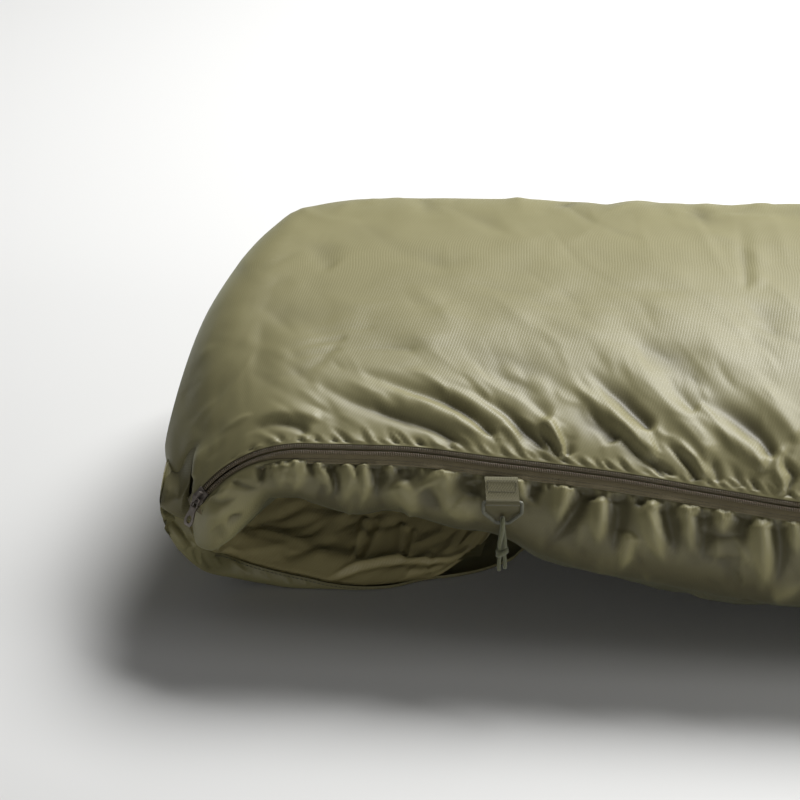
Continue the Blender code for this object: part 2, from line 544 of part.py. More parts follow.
def build_anchor(name, x, side, mats):
    start, bar = anchor_points(x, side)
    d = (bar - start) / np.linalg.norm(bar - start)
    e = np.array([1.0, 0.0, 0.0])
    m = np.cross(e, d)
    length = float(np.linalg.norm(bar - start))
    mat = frame_matrix(start, e, d, m)
    half = WEB_W / 2
    bm = bmesh.new()
    box_bm(bm, (-half, half), (0.0, length - 0.0005), (-0.0012, 0.0012), mat)
    tab = new_object(name + "_tab", bm, mats["webbing"])
    tube = helper(cylinder(name + "_tab_roll", bar - e * half, bar + e * half, 0.0037, 14, mats["webbing"]))
    boolean(tab, tube, "UNION")
    bore = helper(cylinder(name + "_tab_bore", bar - e * 0.04, bar + e * 0.04, WIRE_R + 0.0005, 12, mats["webbing"]))
    boolean(tab, bore, "DIFFERENCE")

    # the ring: a bar in the tab, straight sides, and a tapered lower end, hanging plumb
    half_in = WEB_W / 2 + WIRE_R + 0.0006
    shape = [(0, 0), (half_in - 0.0018, 0), (half_in - 0.0005, -0.0005), (half_in, -0.0018), (half_in, -0.0095), (half_in - 0.0006, -0.0112), (half_in - 0.0020, -0.0126), (0.0068, -0.0200), (0.0052, -0.0208), (0.0035, -0.0210)]
    shape = shape + [(-u, w) for u, w in reversed(shape[1:])]
    curve = bpy.data.curves.new(name + "_ring", "CURVE")
    curve.dimensions = "3D"
    curve.bevel_depth = WIRE_R
    curve.bevel_resolution = 2
    spline = curve.splines.new("POLY")
    spline.points.add(len(shape) - 1)
    for p, (u, w) in zip(spline.points, shape):
        p.co = (bar[0] + u, bar[1], bar[2] + w, 1)
    spline.use_cyclic_u = True
    ring = bpy.data.objects.new(name + "_ring", curve)
    bpy.context.scene.collection.objects.link(ring)
    curve.materials.append(mats["ring"])

    # the tie cord: a bight over the ring's lower bar, its two strands falling side by side to a knot
    low = np.array([bar[0], bar[1], bar[2] - 0.0210])
    r = WIRE_R + CORD_R + 0.0004
    pts = []
    drop = 0.0245
    for k in range(9):
        f = k / 8
        z = -drop * (1 - f)
        blend = f * f * (3 - 2 * f)
        pts.append((-0.0023 * (1 - blend), -r * blend * -side * -1, z))
    front = [np.array([u, -0.0 + w, z]) for u, w, z in pts]
    top = [np.array([0.0, side * r * math.cos(a), r * math.sin(a)]) for a in np.linspace(0, math.pi, 9)[1:-1]]
    front = [np.array([p[0], side * abs(p[1]), p[2]]) for p in front]
    back = [np.array([-p[0], -p[1], p[2]]) for p in reversed(front)]
    route = [low + p for p in front + top + back]
    curve = bpy.data.curves.new(name + "_tie_cord", "CURVE")
    curve.dimensions = "3D"
    curve.bevel_depth = CORD_R
    curve.bevel_resolution = 2
    curve.use_fill_caps = True
    spline = curve.splines.new("POLY")
    spline.points.add(len(route) - 1)
    for p, co in zip(spline.points, route):
        p.co = (*co, 1)
    cord = bpy.data.objects.new(name + "_tie_cord", curve)
    bpy.context.scene.collection.objects.link(cord)
    curve.materials.append(mats["cord"])

    # the knot, with its two short ends below it
    bm = bmesh.new()
    bmesh.ops.create_uvsphere(bm, u_segments=10, v_segments=6, radius=1.0)
    squash = Matrix.Diagonal((0.0052, 0.0038, 0.0045, 1))
    bmesh.ops.transform(bm, matrix=Matrix.Translation(Vector(low + np.array([0, 0, -drop - 0.0052]))) @ squash, verts=bm.verts[:])
    knot = new_object(name + "_tie_knot", bm, mats["cord"])
    tail = bmesh.new()
    at = low + np.array([0.0, 0, -drop - 0.0052])
    for sx, ln in ((-1, 0.0175), (1, 0.0150)):
        bmesh.ops.create_cone(tail, cap_ends=True, segments=8, radius1=CORD_R * 0.95, radius2=CORD_R, depth=ln,
                              matrix=Matrix.Translation(Vector(at + np.array([sx * 0.0022, 0, -ln / 2 - 0.0002]))))
    tails = helper(new_object(name + "_tie_ends", tail, mats["cord"]))
    boolean(knot, tails, "UNION")
    return bar, low


def pivot(name, at, pieces, parent=None):
    """An empty on a joint's axis, with the pieces that turn about it."""
    empty = bpy.data.objects.new(name, None)
    empty.empty_display_size = 0.02
    bpy.context.scene.collection.objects.link(empty)
    empty.location = at
    if parent is not None:
        empty.parent = parent
        empty.location = Vector(at) - parent.matrix_world.translation
    bpy.context.view_layer.update()
    for piece in pieces:
        obj = bpy.data.objects[piece]
        helpers = [m.object for m in obj.modifiers if m.type == "BOOLEAN"]
        for each in [obj] + helpers:
            each.parent = empty
            each.matrix_parent_inverse = empty.matrix_world.inverted()
    return empty


def main():
    clear_scene()
    mats = {
        "shell": material("shell_fabric", (0.235, 0.235, 0.125), 0.48),
        "floor": material("floor_fabric", (0.150, 0.150, 0.085), 0.55),
        "lining": material("filling", (0.10, 0.10, 0.08), 0.8),
        "tape": material("zip_tape", (0.085, 0.065, 0.045), 0.8),
        "coil": material("zip_coil", (0.080, 0.058, 0.042), 0.4),
        "metal": material("zip_metal", (0.16, 0.13, 0.11), 0.35, 0.9),
        "webbing": material("webbing", (0.150, 0.150, 0.080), 0.85),
        "ring": material("ring", (0.120, 0.130, 0.080), 0.45),
        "cord": material("cord", (0.150, 0.160, 0.095), 0.8),
    }
    build_fabric(mats)
    build_hood(mats)
    build_zip(mats)
    build_slider(mats)
    build_pull(mats)
    anchors = {name: build_anchor(name, x, side, mats) for name, (x, side) in ANCHORS.items()}

    # every piece is shifted at once, so the box's middle stands over the origin
    whole = pivot("bivy_sack", (0, 0, 0), [])
    slider = pivot("slider_travel", (ARC_X, ARC_Y, ARC_Z - ARC_R), ["zip_slider"], whole)
    pivot("pull_hinge", pull_frame()[0], ["zip_pull"], slider)
    for name, (bar, low) in anchors.items():
        ring = pivot(name + "_ring_hinge", bar, [name + "_ring"], whole)
        pivot(name + "_cord_hinge", low, [name + "_tie_cord", name + "_tie_knot"], ring)
    for obj in list(bpy.data.objects):
        if obj.parent is None and obj is not whole:
            obj.parent = whole
    whole.location = (CENTRE_X, CENTRE_Y, 0)
    bpy.context.view_layer.update()


main()
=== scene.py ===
import math

import bmesh
import bpy
import numpy as np
from mathutils import Matrix, Vector


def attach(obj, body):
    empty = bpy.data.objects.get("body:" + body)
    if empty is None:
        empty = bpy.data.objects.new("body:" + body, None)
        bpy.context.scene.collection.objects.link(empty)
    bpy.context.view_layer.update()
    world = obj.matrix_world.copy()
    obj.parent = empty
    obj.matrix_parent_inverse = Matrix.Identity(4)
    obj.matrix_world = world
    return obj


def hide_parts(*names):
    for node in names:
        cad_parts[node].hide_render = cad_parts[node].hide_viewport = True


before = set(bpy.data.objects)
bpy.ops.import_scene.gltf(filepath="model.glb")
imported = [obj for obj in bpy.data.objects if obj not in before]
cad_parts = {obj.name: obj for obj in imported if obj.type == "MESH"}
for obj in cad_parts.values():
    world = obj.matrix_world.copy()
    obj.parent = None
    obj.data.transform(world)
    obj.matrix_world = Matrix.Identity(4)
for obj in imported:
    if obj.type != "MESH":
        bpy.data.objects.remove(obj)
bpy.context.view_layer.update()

C = bpy.context

# ------------------------------------------------------------------ sizes shared with the part
LENGTH, SKEW, SKEW_Y = 1.90, 0.174, 0.306
X0 = -LENGTH / 2
SHIFT = np.array([-0.0063, 0.0180, 0.0])
ZIP_TILT = math.radians(38)
ARC_R, ARC_X, ARC_Y, ARC_Z = 0.113, -0.780, -0.292, 0.204
ARC_END, SLIDER_AT, ZIP_FOOT_X = math.radians(64), math.radians(56.3), 0.50
TAPE_IN, TAPE_OUT, TAPE_T = 0.0010, 0.0130, 0.0009
CORNER_DROP, LOW_FULL, HOOD_LEN = 0.120, 1.85, 0.36
WIRE_R, CORD_R, WEB_W, WEB_L = 0.00175, 0.0019, 0.030, 0.024
FAR_TOP, NEAR_SEAM, FAR_SEAM = math.radians(-72), math.radians(116), math.radians(-116)

# ------------------------------------------------------------------ camera
# A long lens from the zip side, 26 degrees up, as the sack is looked at in a product shot.
cam_data = bpy.data.cameras.new("camera")
cam = bpy.data.objects.new("camera", cam_data)
C.scene.collection.objects.link(cam)
C.scene.camera = cam
LOOK = np.array([-0.701, -0.050, 0.137]) + SHIFT
AZ, EL, DIST, FOCAL = math.radians(2), math.radians(26), 3.2, 3251.0
BACK = np.array([math.sin(AZ) * math.cos(EL), -math.cos(AZ) * math.cos(EL), math.sin(EL)])
RIGHT = np.array([math.cos(AZ), math.sin(AZ), 0.0])
UP = np.cross(BACK, RIGHT)
STAND = LOOK + BACK * DIST
cam.matrix_world = Matrix([[RIGHT[i], UP[i], BACK[i], STAND[i]] for i in range(3)] + [[0, 0, 0, 1]])
cam_data.sensor_width = 36.0
cam_data.lens = 36.0 * FOCAL / 800.0
cam_data.clip_start, cam_data.clip_end = 0.1, 60.0


def chart(p):
    """Where a point lies on the side elevation that the folds are laid out on: millimetres along the
    sack and down it, as its zip side is seen from a little above. Used to place folds, at build time only."""
    q = np.asarray(p) - STAND
    d = -(q @ BACK)
    return np.stack([400 + FOCAL * (q @ RIGHT) / d, 400 - FOCAL * (q @ UP) / d], -1)


# ------------------------------------------------------------------ curves and noise
def through(x, xs, ys):
    xs, ys = np.array(xs, float), np.array(ys, float)
    x = np.asarray(x, float)
    h, d = np.diff(xs), np.diff(ys) / np.diff(xs)
    m = np.zeros(len(xs))
    for i in range(1, len(xs) - 1):
        if d[i - 1] * d[i] > 0:
            w1, w2 = 2 * h[i] + h[i - 1], h[i] + 2 * h[i - 1]
            m[i] = (w1 + w2) / (w1 / d[i - 1] + w2 / d[i])
    m[0], m[-1] = d[0], d[-1]
    x = np.clip(x, xs[0], xs[-1])
    i = np.clip(np.searchsorted(xs, x) - 1, 0, len(xs) - 2)
    t = (x - xs[i]) / h[i]
    return (ys[i] * (1 + 2 * t) * (1 - t) ** 2 + m[i] * h[i] * t * (1 - t) ** 2
            + ys[i + 1] * t * t * (3 - 2 * t) + m[i + 1] * h[i] * t * t * (t - 1))


def smooth(x, a, b):
    t = np.clip((np.asarray(x, float) - a) / (b - a), 0, 1)
    return t * t * (3 - 2 * t)


def rounding(s, reach, power):
    return (1 - (1 - np.clip(s / reach, 0, 1)) ** power) ** (1 / power)


def lattice(seed, n=64):
    return np.random.default_rng(seed).uniform(-1, 1, (n, n))


def noise2(x, y, seed):
    """Smooth value noise, about -1 to 1, one cell per unit."""
    g = lattice(seed)
    n = len(g)
    xi, yi = np.floor(x).astype(int), np.floor(y).astype(int)
    fx, fy = x - xi, y - yi
    fx, fy = fx * fx * (3 - 2 * fx), fy * fy * (3 - 2 * fy)
    a, b = g[xi % n, yi % n], g[(xi + 1) % n, yi % n]
    c, d = g[xi % n, (yi + 1) % n], g[(xi + 1) % n, (yi + 1) % n]
    return (a * (1 - fx) + b * fx) * (1 - fy) + (c * (1 - fx) + d * fx) * fy


# ------------------------------------------------------------------ the lofted outside, as in the part
def loft(s, t, inset=0.0):
    s, t = np.asarray(s, float), np.asarray(t, float)
    near = through(s, [0, 0.2, 0.45, 0.7, 1.0, 1.4, 1.7, 1.9], [0.306, 0.308, 0.340, 0.362, 0.372, 0.345, 0.285, 0.245]) - inset
    far = through(s, [0, 0.2, 0.45, 0.7, 1.0, 1.4, 1.7, 1.9], [0.300, 0.300, 0.320, 0.330, 0.335, 0.315, 0.265, 0.235]) - inset
    top = through(s, [0, 0.2, 0.5, 0.8, 1.1, 1.4, 1.7, 1.9], [0.256, 0.264, 0.270, 0.273, 0.272, 0.262, 0.240, 0.225]) - inset
    low = through(s, [0, 0.2, 0.45, 0.6, 1.0, 1.9], [0.100, 0.098, 0.030, 0.0, 0.0, 0.0]) + inset
    head, head_w = rounding(s, 0.081, 2.15), 0.30 + 0.70 * rounding(s, 0.146, 2.25)
    foot, foot_w = rounding(LENGTH - s, 0.12, 2.4), 0.35 + 0.65 * rounding(LENGTH - s, 0.10, 2.4)
    mid = low + (top - low) * 0.46
    high, bottom = mid + (top - mid) * head * foot, mid - (mid - low) * head * foot
    near, far = near * head_w * foot_w, far * head_w * foot_w
    sin, cos = np.sin(t), np.cos(t)
    plump = np.where(cos > 0, 2 / 2.25, 2 / LOW_FULL)
    y = -np.where(sin > 0, near, far) * np.sign(sin) * np.abs(sin) ** plump
    z = np.where(cos > 0, mid + (high - mid) * np.abs(cos) ** (2 / 2.1), mid - (mid - bottom) * np.minimum(1.04 * np.abs(cos) ** (2 / 2.6), 1))
    corner = np.clip(-y / 0.3, 0, 1) ** 2 * np.clip(1 - s / 0.159, 0, 1) ** 2
    z = z - CORNER_DROP * corner * np.clip((z - 0.12) / 0.1, 0, 1)
    x = X0 + s + SKEW * (y + SKEW_Y) * np.clip(1 - s / 0.55, 0, 1) ** 1.36
    return np.stack(np.broadcast_arrays(x, y, z), -1)


ZIP_X = [ARC_X, -0.70, -0.60, -0.50, -0.40, -0.33, -0.20, -0.10, 0.05, 0.20, 0.35, 0.50, 0.60]
ZIP_Y = [ARC_Y, -0.293, -0.302, -0.313, -0.3265, -0.337, -0.350, -0.357, -0.3627, -0.3598, -0.3488, -0.332, -0.313]
ZIP_Z = [ARC_Z, 0.2035, 0.1975, 0.191, 0.181, 0.175, 0.170, 0.167, 0.163, 0.159, 0.155, 0.150, 0.146]


def zip_line(x):
    return np.array([x, float(through(x, ZIP_X, ZIP_Y)), float(through(x, ZIP_X, ZIP_Z))])


def zip_frame(u):
    """Centre, run (to the foot), cross (up) and face of the zip; u < 0 is an angle round the head turn."""
    if u <= 0:
        a = -u
        out = np.array([-math.sin(a), 0.0, math.cos(a)])
        centre = np.array([ARC_X, ARC_Y, ARC_Z - ARC_R]) + ARC_R * out
        run = np.array([math.cos(a), 0.0, math.sin(a)])
        cross = math.cos(ZIP_TILT) * out + math.sin(ZIP_TILT) * np.array([0, 1.0, 0])
    else:
        centre = zip_line(ARC_X + u)
        run = zip_line(ARC_X + u + 0.004) - zip_line(ARC_X + max(u - 0.004, 0))
        run /= np.linalg.norm(run)
        tilt = math.radians(float(through(ARC_X + u, [ARC_X, -0.60, -0.40, -0.20, 0.05, 0.60], [math.degrees(ZIP_TILT), 44, 42, 37, 31, 26])))
        cross = np.array([0.0, math.sin(tilt), math.cos(tilt)])
        cross -= run * (cross @ run)
        cross /= np.linalg.norm(cross)
    face = np.cross(run, cross)
    if face[1] > 0:
        face = -face
    return centre + SHIFT, run, cross, face


def zip_path(start, end_x, step):
    """Frames at an even pace along the zip, with the distance run."""
    u = -start
    rows = []
    dist = 0.0
    last = None
    while True:
        f = zip_frame(u)
        if last is not None:
            dist += float(np.linalg.norm(f[0] - last))
        rows.append((dist, u) + f)
        last = f[0]
        if u >= end_x - ARC_X:
            break
        u = u + step / ARC_R if u < 0 else u + step
        if rows[-1][1] < 0 < u:
            u = 0.0
        u = min(u, end_x - ARC_X)
    return rows


# ------------------------------------------------------------------ meshes from grids
def link(obj):
    C.scene.collection.objects.link(obj)
    return obj


def grid_object(name, points, body, uv=None, wrap=False, flip=False, attrs=None):
    """A sheet of quads through a rows x cols grid of points, with its cloth coordinates in metres."""
    rows, cols = points.shape[:2]
    idx = np.arange(rows * cols).reshape(rows, cols)
    a, b, c, d = idx[:-1, :-1], idx[:-1, 1:], idx[1:, 1:], idx[1:, :-1]
    if wrap:
        a = np.concatenate([a, idx[:-1, -1:]], 1); b = np.concatenate([b, idx[:-1, :1]], 1)
        c = np.concatenate([c, idx[1:, :1]], 1); d = np.concatenate([d, idx[1:, -1:]], 1)
    quads = np.stack([a, b, c, d], -1).reshape(-1, 4)
    if flip:
        quads = quads[:, ::-1]
    return raw_object(name, points.reshape(-1, 3), quads, body, None if uv is None else uv.reshape(-1, 2),
                      {k: v.reshape(-1) for k, v in (attrs or {}).items()})


def raw_object(name, verts, quads, body, uv=None, attrs=None):
    mesh = bpy.data.meshes.new(name)
    verts, quads = np.ascontiguousarray(verts, np.float32), np.ascontiguousarray(quads, np.int32)
    mesh.vertices.add(len(verts))
    mesh.vertices.foreach_set("co", verts.ravel())
    mesh.loops.add(quads.size)
    mesh.loops.foreach_set("vertex_index", quads.ravel())
    mesh.polygons.add(len(quads))
    mesh.polygons.foreach_set("loop_start", np.arange(0, quads.size, quads.shape[1], dtype=np.int32))
    mesh.update(calc_edges=True)
    if uv is not None:
        layer = mesh.uv_layers.new(name="cloth")
        layer.data.foreach_set("uv", np.ascontiguousarray(uv[quads.ravel()], np.float32).ravel())
    for key, values in (attrs or {}).items():
        at = mesh.attributes.new(key, "FLOAT", "POINT")
        at.data.foreach_set("value", np.ascontiguousarray(values, np.float32))
    mesh.shade_smooth()
    obj = link(bpy.data.objects.new(name, mesh))
    if body:
        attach(obj, body)
    return obj


def normals_of(grid, inside):
    n = np.cross(np.gradient(grid, axis=0), np.gradient(grid, axis=1))
    n /= np.maximum(np.linalg.norm(n, axis=-1, keepdims=True), 1e-12)
    flip = ((grid - inside) * n).sum(-1, keepdims=True) < 0
    return np.where(flip, -n, n)


def thicken(obj, thickness, offset=-1.0):
    mod = obj.modifiers.new("Solidify", "SOLIDIFY")
    mod.thickness = thickness
    mod.offset = offset
    mod.use_even_offset = False
    return obj


def cloth_uv(points):
    """Distances along the rows and the columns of a grid, in metres."""
    du = np.linalg.norm(np.diff(points, axis=0), axis=-1)
    dv = np.linalg.norm(np.diff(points, axis=1), axis=-1)
    u = np.concatenate([np.zeros((1, points.shape[1])), np.cumsum(du, 0)], 0)
    v = np.concatenate([np.zeros((points.shape[0], 1)), np.cumsum(dv, 1)], 1)
    return np.stack([u, v], -1)


# ------------------------------------------------------------------ folds
def segment_field(uv, line, width, taper=0.25):
    """Signed distance to a polyline and how strongly its ends fade, for every point. width is not used."""
    pts = np.array(line, float)
    seg = np.diff(pts, axis=0)
    lens = np.linalg.norm(seg, axis=1)
    total = lens.sum()
    start = np.concatenate([[0], np.cumsum(lens)[:-1]])
    best = np.full(len(uv), 1e9)
    signed = np.zeros(len(uv))
    along = np.zeros(len(uv))
    for p, d, ln, s0 in zip(pts[:-1], seg, lens, start):
        q = uv - p
        t = np.clip((q @ d) / (ln * ln), 0, 1)
        r = q - t[:, None] * d
        dist = np.hypot(r[:, 0], r[:, 1])
        side = np.sign(d[0] * q[:, 1] - d[1] * q[:, 0])
        take = dist < best
        best = np.where(take, dist, best)
        signed = np.where(take, dist * side, signed)
        along = np.where(take, (s0 + t * ln) / total, along)
    return signed, along


def curve_points(line, n=4):
    """A smoother polyline through the given points."""
    p = np.array(line, float)
    if len(p) < 3:
        return p
    out = []
    ext = np.vstack([2 * p[0] - p[1], p, 2 * p[-1] - p[-2]])
    for i in range(1, len(ext) - 2):
        p0, p1, p2, p3 = ext[i - 1:i + 3]
        for t in np.linspace(0, 1, n, endpoint=False):
            out.append(0.5 * (2 * p1 + (p2 - p0) * t + (2 * p0 - 5 * p1 + 4 * p2 - p3) * t * t + (3 * p1 - p0 - 3 * p2 + p3) * t ** 3))
    out.append(p[-1])
    return np.array(out)


def fold(uv, disp, line, depth, below, above, fade=(0.2, 0.2), sharp=1.6, spread=0.0):
    """Adds a fold along a line of the chart. depth in metres, positive a ridge and negative a crease;
    below and above are its reach in mm on either side, so one flank can be steep and the other slack."""
    pts = curve_points(line)
    reach = max(below, above) * (2.6 + 1.4 * spread)
    lo, hi = pts.min(0) - reach, pts.max(0) + reach
    pick = np.flatnonzero((uv[:, 0] > lo[0]) & (uv[:, 0] < hi[0]) & (uv[:, 1] > lo[1]) & (uv[:, 1] < hi[1]))
    if not len(pick):
        return
    d, t = segment_field(uv[pick], pts, None)
    w = np.where(d > 0, below, above)
    ends = smooth(t, 0, fade[0] + 1e-6) * (1 - smooth(t, 1 - fade[1] - 1e-6, 1))
    w = w * (0.35 + 0.65 * ends) * (1 + spread * (0.55 - t))
    disp[pick] += depth * ends * np.exp(-(np.abs(d) / w) ** sharp)


def wrinkles(uv, disp, seed, count, area, angle, spread, length, width, depth, mask=None):
    """Many small creases and ridges strewn over an area, each a short bent stroke."""
    rng = np.random.default_rng(seed)
    (u0, v0), (u1, v1) = area
    for _ in range(count):
        c = np.array([rng.uniform(u0, u1), rng.uniform(v0, v1)])
        a = math.radians((angle(c) if callable(angle) else angle) + rng.normal() * spread)
        ln = rng.uniform(*length)
        w = rng.uniform(*width)
        dep = rng.uniform(*depth) * (1 if rng.random() < 0.5 else -1)
        if mask is not None:
            dep *= mask(c)
            if abs(dep) < 1e-5:
                continue
        d = np.array([math.cos(a), math.sin(a)])
        bend = rng.normal() * 0.12 * ln * np.array([-d[1], d[0]])
        fold(uv, disp, [c - d * ln / 2, c + bend, c + d * ln / 2], dep, w, w, fade=(0.45, 0.45), sharp=1.7)


# ------------------------------------------------------------------ materials
def new_material(name):
    mat = bpy.data.materials.new(name)
    mat.use_nodes = True
    nt = mat.node_tree
    nt.nodes.clear()
    out = nt.nodes.new("ShaderNodeOutputMaterial")
    shader = nt.nodes.new("ShaderNodeBsdfPrincipled")
    nt.links.new(shader.outputs[0], out.inputs[0])
    return mat, nt, shader


def node(nt, kind, ins=None, **props):
    n = nt.nodes.new(kind)
    for k, v in props.items():
        setattr(n, k, v)
    for k, v in (ins or {}).items():
        if isinstance(v, bpy.types.NodeSocket):
            nt.links.new(v, n.inputs[k])
        else:
            n.inputs[k].default_value = v
    return n


def maths(nt, op, a, b=0.0, c=0.0, clamp=False):
    n = nt.nodes.new("ShaderNodeMath")
    n.operation = op
    n.use_clamp = clamp
    for i, v in enumerate((a, b, c)):
        if isinstance(v, bpy.types.NodeSocket):
            nt.links.new(v, n.inputs[i])
        else:
            n.inputs[i].default_value = v
    return n.outputs[0]


def mix(nt, factor, a, b, blend="MIX"):
    n = nt.nodes.new("ShaderNodeMix")
    n.data_type = "RGBA"
    n.blend_type = blend
    for key, v in ((0, factor), (6, a), (7, b)):
        if isinstance(v, bpy.types.NodeSocket):
            nt.links.new(v, n.inputs[key])
        else:
            n.inputs[key].default_value = v if key == 0 else (*v, 1)
    return n.outputs[2]


def cloth_material(name, colour, rough=0.42, rib=0.0039, sheen=0.25, rib_bump=0.35, spec=0.5, weft=0.0011, contrast=0.16, extra_bump=None):
    """Fine filament cloth: ribs across the sack's length, a finer weft between them, and slight unevenness."""
    mat, nt, shader = new_material(name)
    uv = node(nt, "ShaderNodeUVMap", uv_map="cloth").outputs[0]
    sep = node(nt, "ShaderNodeSeparateXYZ", {0: uv})
    geo = node(nt, "ShaderNodeTexCoord").outputs["Object"]
    wobble = node(nt, "ShaderNodeTexNoise", {"Vector": geo, "Scale": 26.0, "Detail": 3.0}).outputs[0]
    u = maths(nt, "ADD", sep.outputs[0], maths(nt, "MULTIPLY", wobble, 0.0016))
    rib_wave = maths(nt, "SINE", maths(nt, "MULTIPLY", u, 2 * math.pi / rib))
    rib_line = maths(nt, "POWER", maths(nt, "MULTIPLY_ADD", rib_wave, 0.5, 0.5), 3.0)
    warp = maths(nt, "SINE", maths(nt, "MULTIPLY", sep.outputs[1], 2 * math.pi / weft))
    fine = maths(nt, "SINE", maths(nt, "MULTIPLY", u, 2 * math.pi / 0.00065))
    grain = maths(nt, "MULTIPLY", warp, fine)
    mottle = node(nt, "ShaderNodeTexNoise", {"Vector": geo, "Scale": 9.0, "Detail": 5.0, "Roughness": 0.6}).outputs[0]
    speck = node(nt, "ShaderNodeTexNoise", {"Vector": geo, "Scale": 900.0, "Detail": 2.0}).outputs[0]
    # ribs come and go, as the filaments catch the light unevenly
    strength = maths(nt, "MULTIPLY", rib_line, maths(nt, "MULTIPLY_ADD", mottle, 1.3, 0.15, clamp=True))
    tone = maths(nt, "ADD", maths(nt, "MULTIPLY", maths(nt, "SUBTRACT", mottle, 0.5), 0.30), maths(nt, "MULTIPLY", strength, contrast))
    tone = maths(nt, "ADD", tone, maths(nt, "MULTIPLY", maths(nt, "SUBTRACT", speck, 0.5), 0.16))
    dark = tuple(c * 0.80 for c in colour)
    light = tuple(min(1, c * 1.30) for c in colour)
    base = mix(nt, maths(nt, "ADD", tone, 0.42, clamp=True), dark, light)
    # painted shade: the cloth's colour is darkened by the crease attribute, in the fold valleys, over the zip wall and
    # on the head corner's tuck
    crease = node(nt, "ShaderNodeAttribute", attribute_name="crease").outputs["Fac"]
    base = mix(nt, maths(nt, "MULTIPLY", crease, 0.80, clamp=True), base, (colour[0] * 0.25, colour[1] * 0.24, colour[2] * 0.24))
    nt.links.new(base, shader.inputs["Base Color"])
    r = maths(nt, "ADD", maths(nt, "MULTIPLY", rib_line, -0.05), maths(nt, "MULTIPLY_ADD", mottle, 0.12, rough - 0.05))
    nt.links.new(r, shader.inputs["Roughness"])
    height = maths(nt, "ADD", maths(nt, "MULTIPLY", rib_line, 1.0), maths(nt, "MULTIPLY", grain, 0.12))
    height = maths(nt, "ADD", height, maths(nt, "MULTIPLY", speck, 0.25))
    bump = node(nt, "ShaderNodeBump", {"Strength": rib_bump, "Distance": 0.00035, "Height": height})
    nt.links.new(bump.outputs[0], shader.inputs["Normal"])
    shader.inputs["Sheen Weight"].default_value = sheen
    shader.inputs["Sheen Roughness"].default_value = 0.35
    shader.inputs["Sheen Tint"].default_value = (0.74, 0.80, 0.56, 1)
    shader.inputs["Specular IOR Level"].default_value = spec
    return mat


def woven_material(name, colour, across, along, rough=0.85, bump=0.6, herring=False):
    """Tape and webbing: yarns crossing at the given pitches, with a little fuzz."""
    mat, nt, shader = new_material(name)
    uv = node(nt, "ShaderNodeUVMap", uv_map="cloth").outputs[0]
    sep = node(nt, "ShaderNodeSeparateXYZ", {0: uv})
    geo = node(nt, "ShaderNodeTexCoord").outputs["Object"]
    a = maths(nt, "MULTIPLY", sep.outputs[0], 2 * math.pi / along)
    b = maths(nt, "MULTIPLY", sep.outputs[1], 2 * math.pi / across)
    if herring:
        a = maths(nt, "ADD", a, maths(nt, "PINGPONG", b, math.pi))
    weave = maths(nt, "MULTIPLY", maths(nt, "SINE", a), maths(nt, "SINE", b))
    cell = maths(nt, "MULTIPLY_ADD", weave, 0.5, 0.5)
    fuzz = node(nt, "ShaderNodeTexNoise", {"Vector": geo, "Scale": 1200.0, "Detail": 3.0}).outputs[0]
    blotch = node(nt, "ShaderNodeTexNoise", {"Vector": geo, "Scale": 60.0, "Detail": 3.0}).outputs[0]
    tone = maths(nt, "ADD", maths(nt, "MULTIPLY", cell, 0.45), maths(nt, "MULTIPLY_ADD", fuzz, 0.5, -0.05))
    tone = maths(nt, "ADD", tone, maths(nt, "MULTIPLY_ADD", blotch, 0.3, -0.15), clamp=True)
    base = mix(nt, tone, tuple(c * 0.55 for c in colour), tuple(min(1, c * 1.45) for c in colour))
    nt.links.new(base, shader.inputs["Base Color"])
    nt.links.new(maths(nt, "MULTIPLY_ADD", fuzz, 0.2, rough - 0.1), shader.inputs["Roughness"])
    h = maths(nt, "ADD", cell, maths(nt, "MULTIPLY", fuzz, 0.5))
    n = node(nt, "ShaderNodeBump", {"Strength": bump, "Distance": 0.0004, "Height": h})
    nt.links.new(n.outputs[0], shader.inputs["Normal"])
    shader.inputs["Sheen Weight"].default_value = 0.2
    return mat


def worn_material(name, colour, rough, metallic, wear, scale=220.0, spec=0.5):
    """Painted or oxidised metal and moulded plastic: fine grain, and lighter rubbed edges."""
    mat, nt, shader = new_material(name)
    geo = node(nt, "ShaderNodeTexCoord").outputs["Object"]
    grain = node(nt, "ShaderNodeTexNoise", {"Vector": geo, "Scale": scale, "Detail": 5.0}).outputs[0]
    scuff = node(nt, "ShaderNodeTexNoise", {"Vector": geo, "Scale": scale * 5, "Detail": 4.0}).outputs[0]
    edge = node(nt, "ShaderNodeNewGeometry").outputs["Pointiness"]
    rub = maths(nt, "MULTIPLY", maths(nt, "SUBTRACT", edge, 0.505), 9.0, clamp=True)
    rub = maths(nt, "MULTIPLY", rub, maths(nt, "MULTIPLY_ADD", grain, 1.1, 0.1), clamp=True)
    base = mix(nt, maths(nt, "MULTIPLY_ADD", grain, 0.9, -0.1, clamp=True), tuple(c * 0.6 for c in colour), tuple(min(1, c * 1.35) for c in colour))
    base = mix(nt, rub, base, wear)
    nt.links.new(base, shader.inputs["Base Color"])
    nt.links.new(maths(nt, "MULTIPLY_ADD", scuff, 0.3, rough - 0.15, clamp=True), shader.inputs["Roughness"])
    shader.inputs["Metallic"].default_value = metallic
    shader.inputs["Specular IOR Level"].default_value = spec
    n = node(nt, "ShaderNodeBump", {"Strength": 0.25, "Distance": 0.0002, "Height": scuff})
    nt.links.new(n.outputs[0], shader.inputs["Normal"])
    return mat


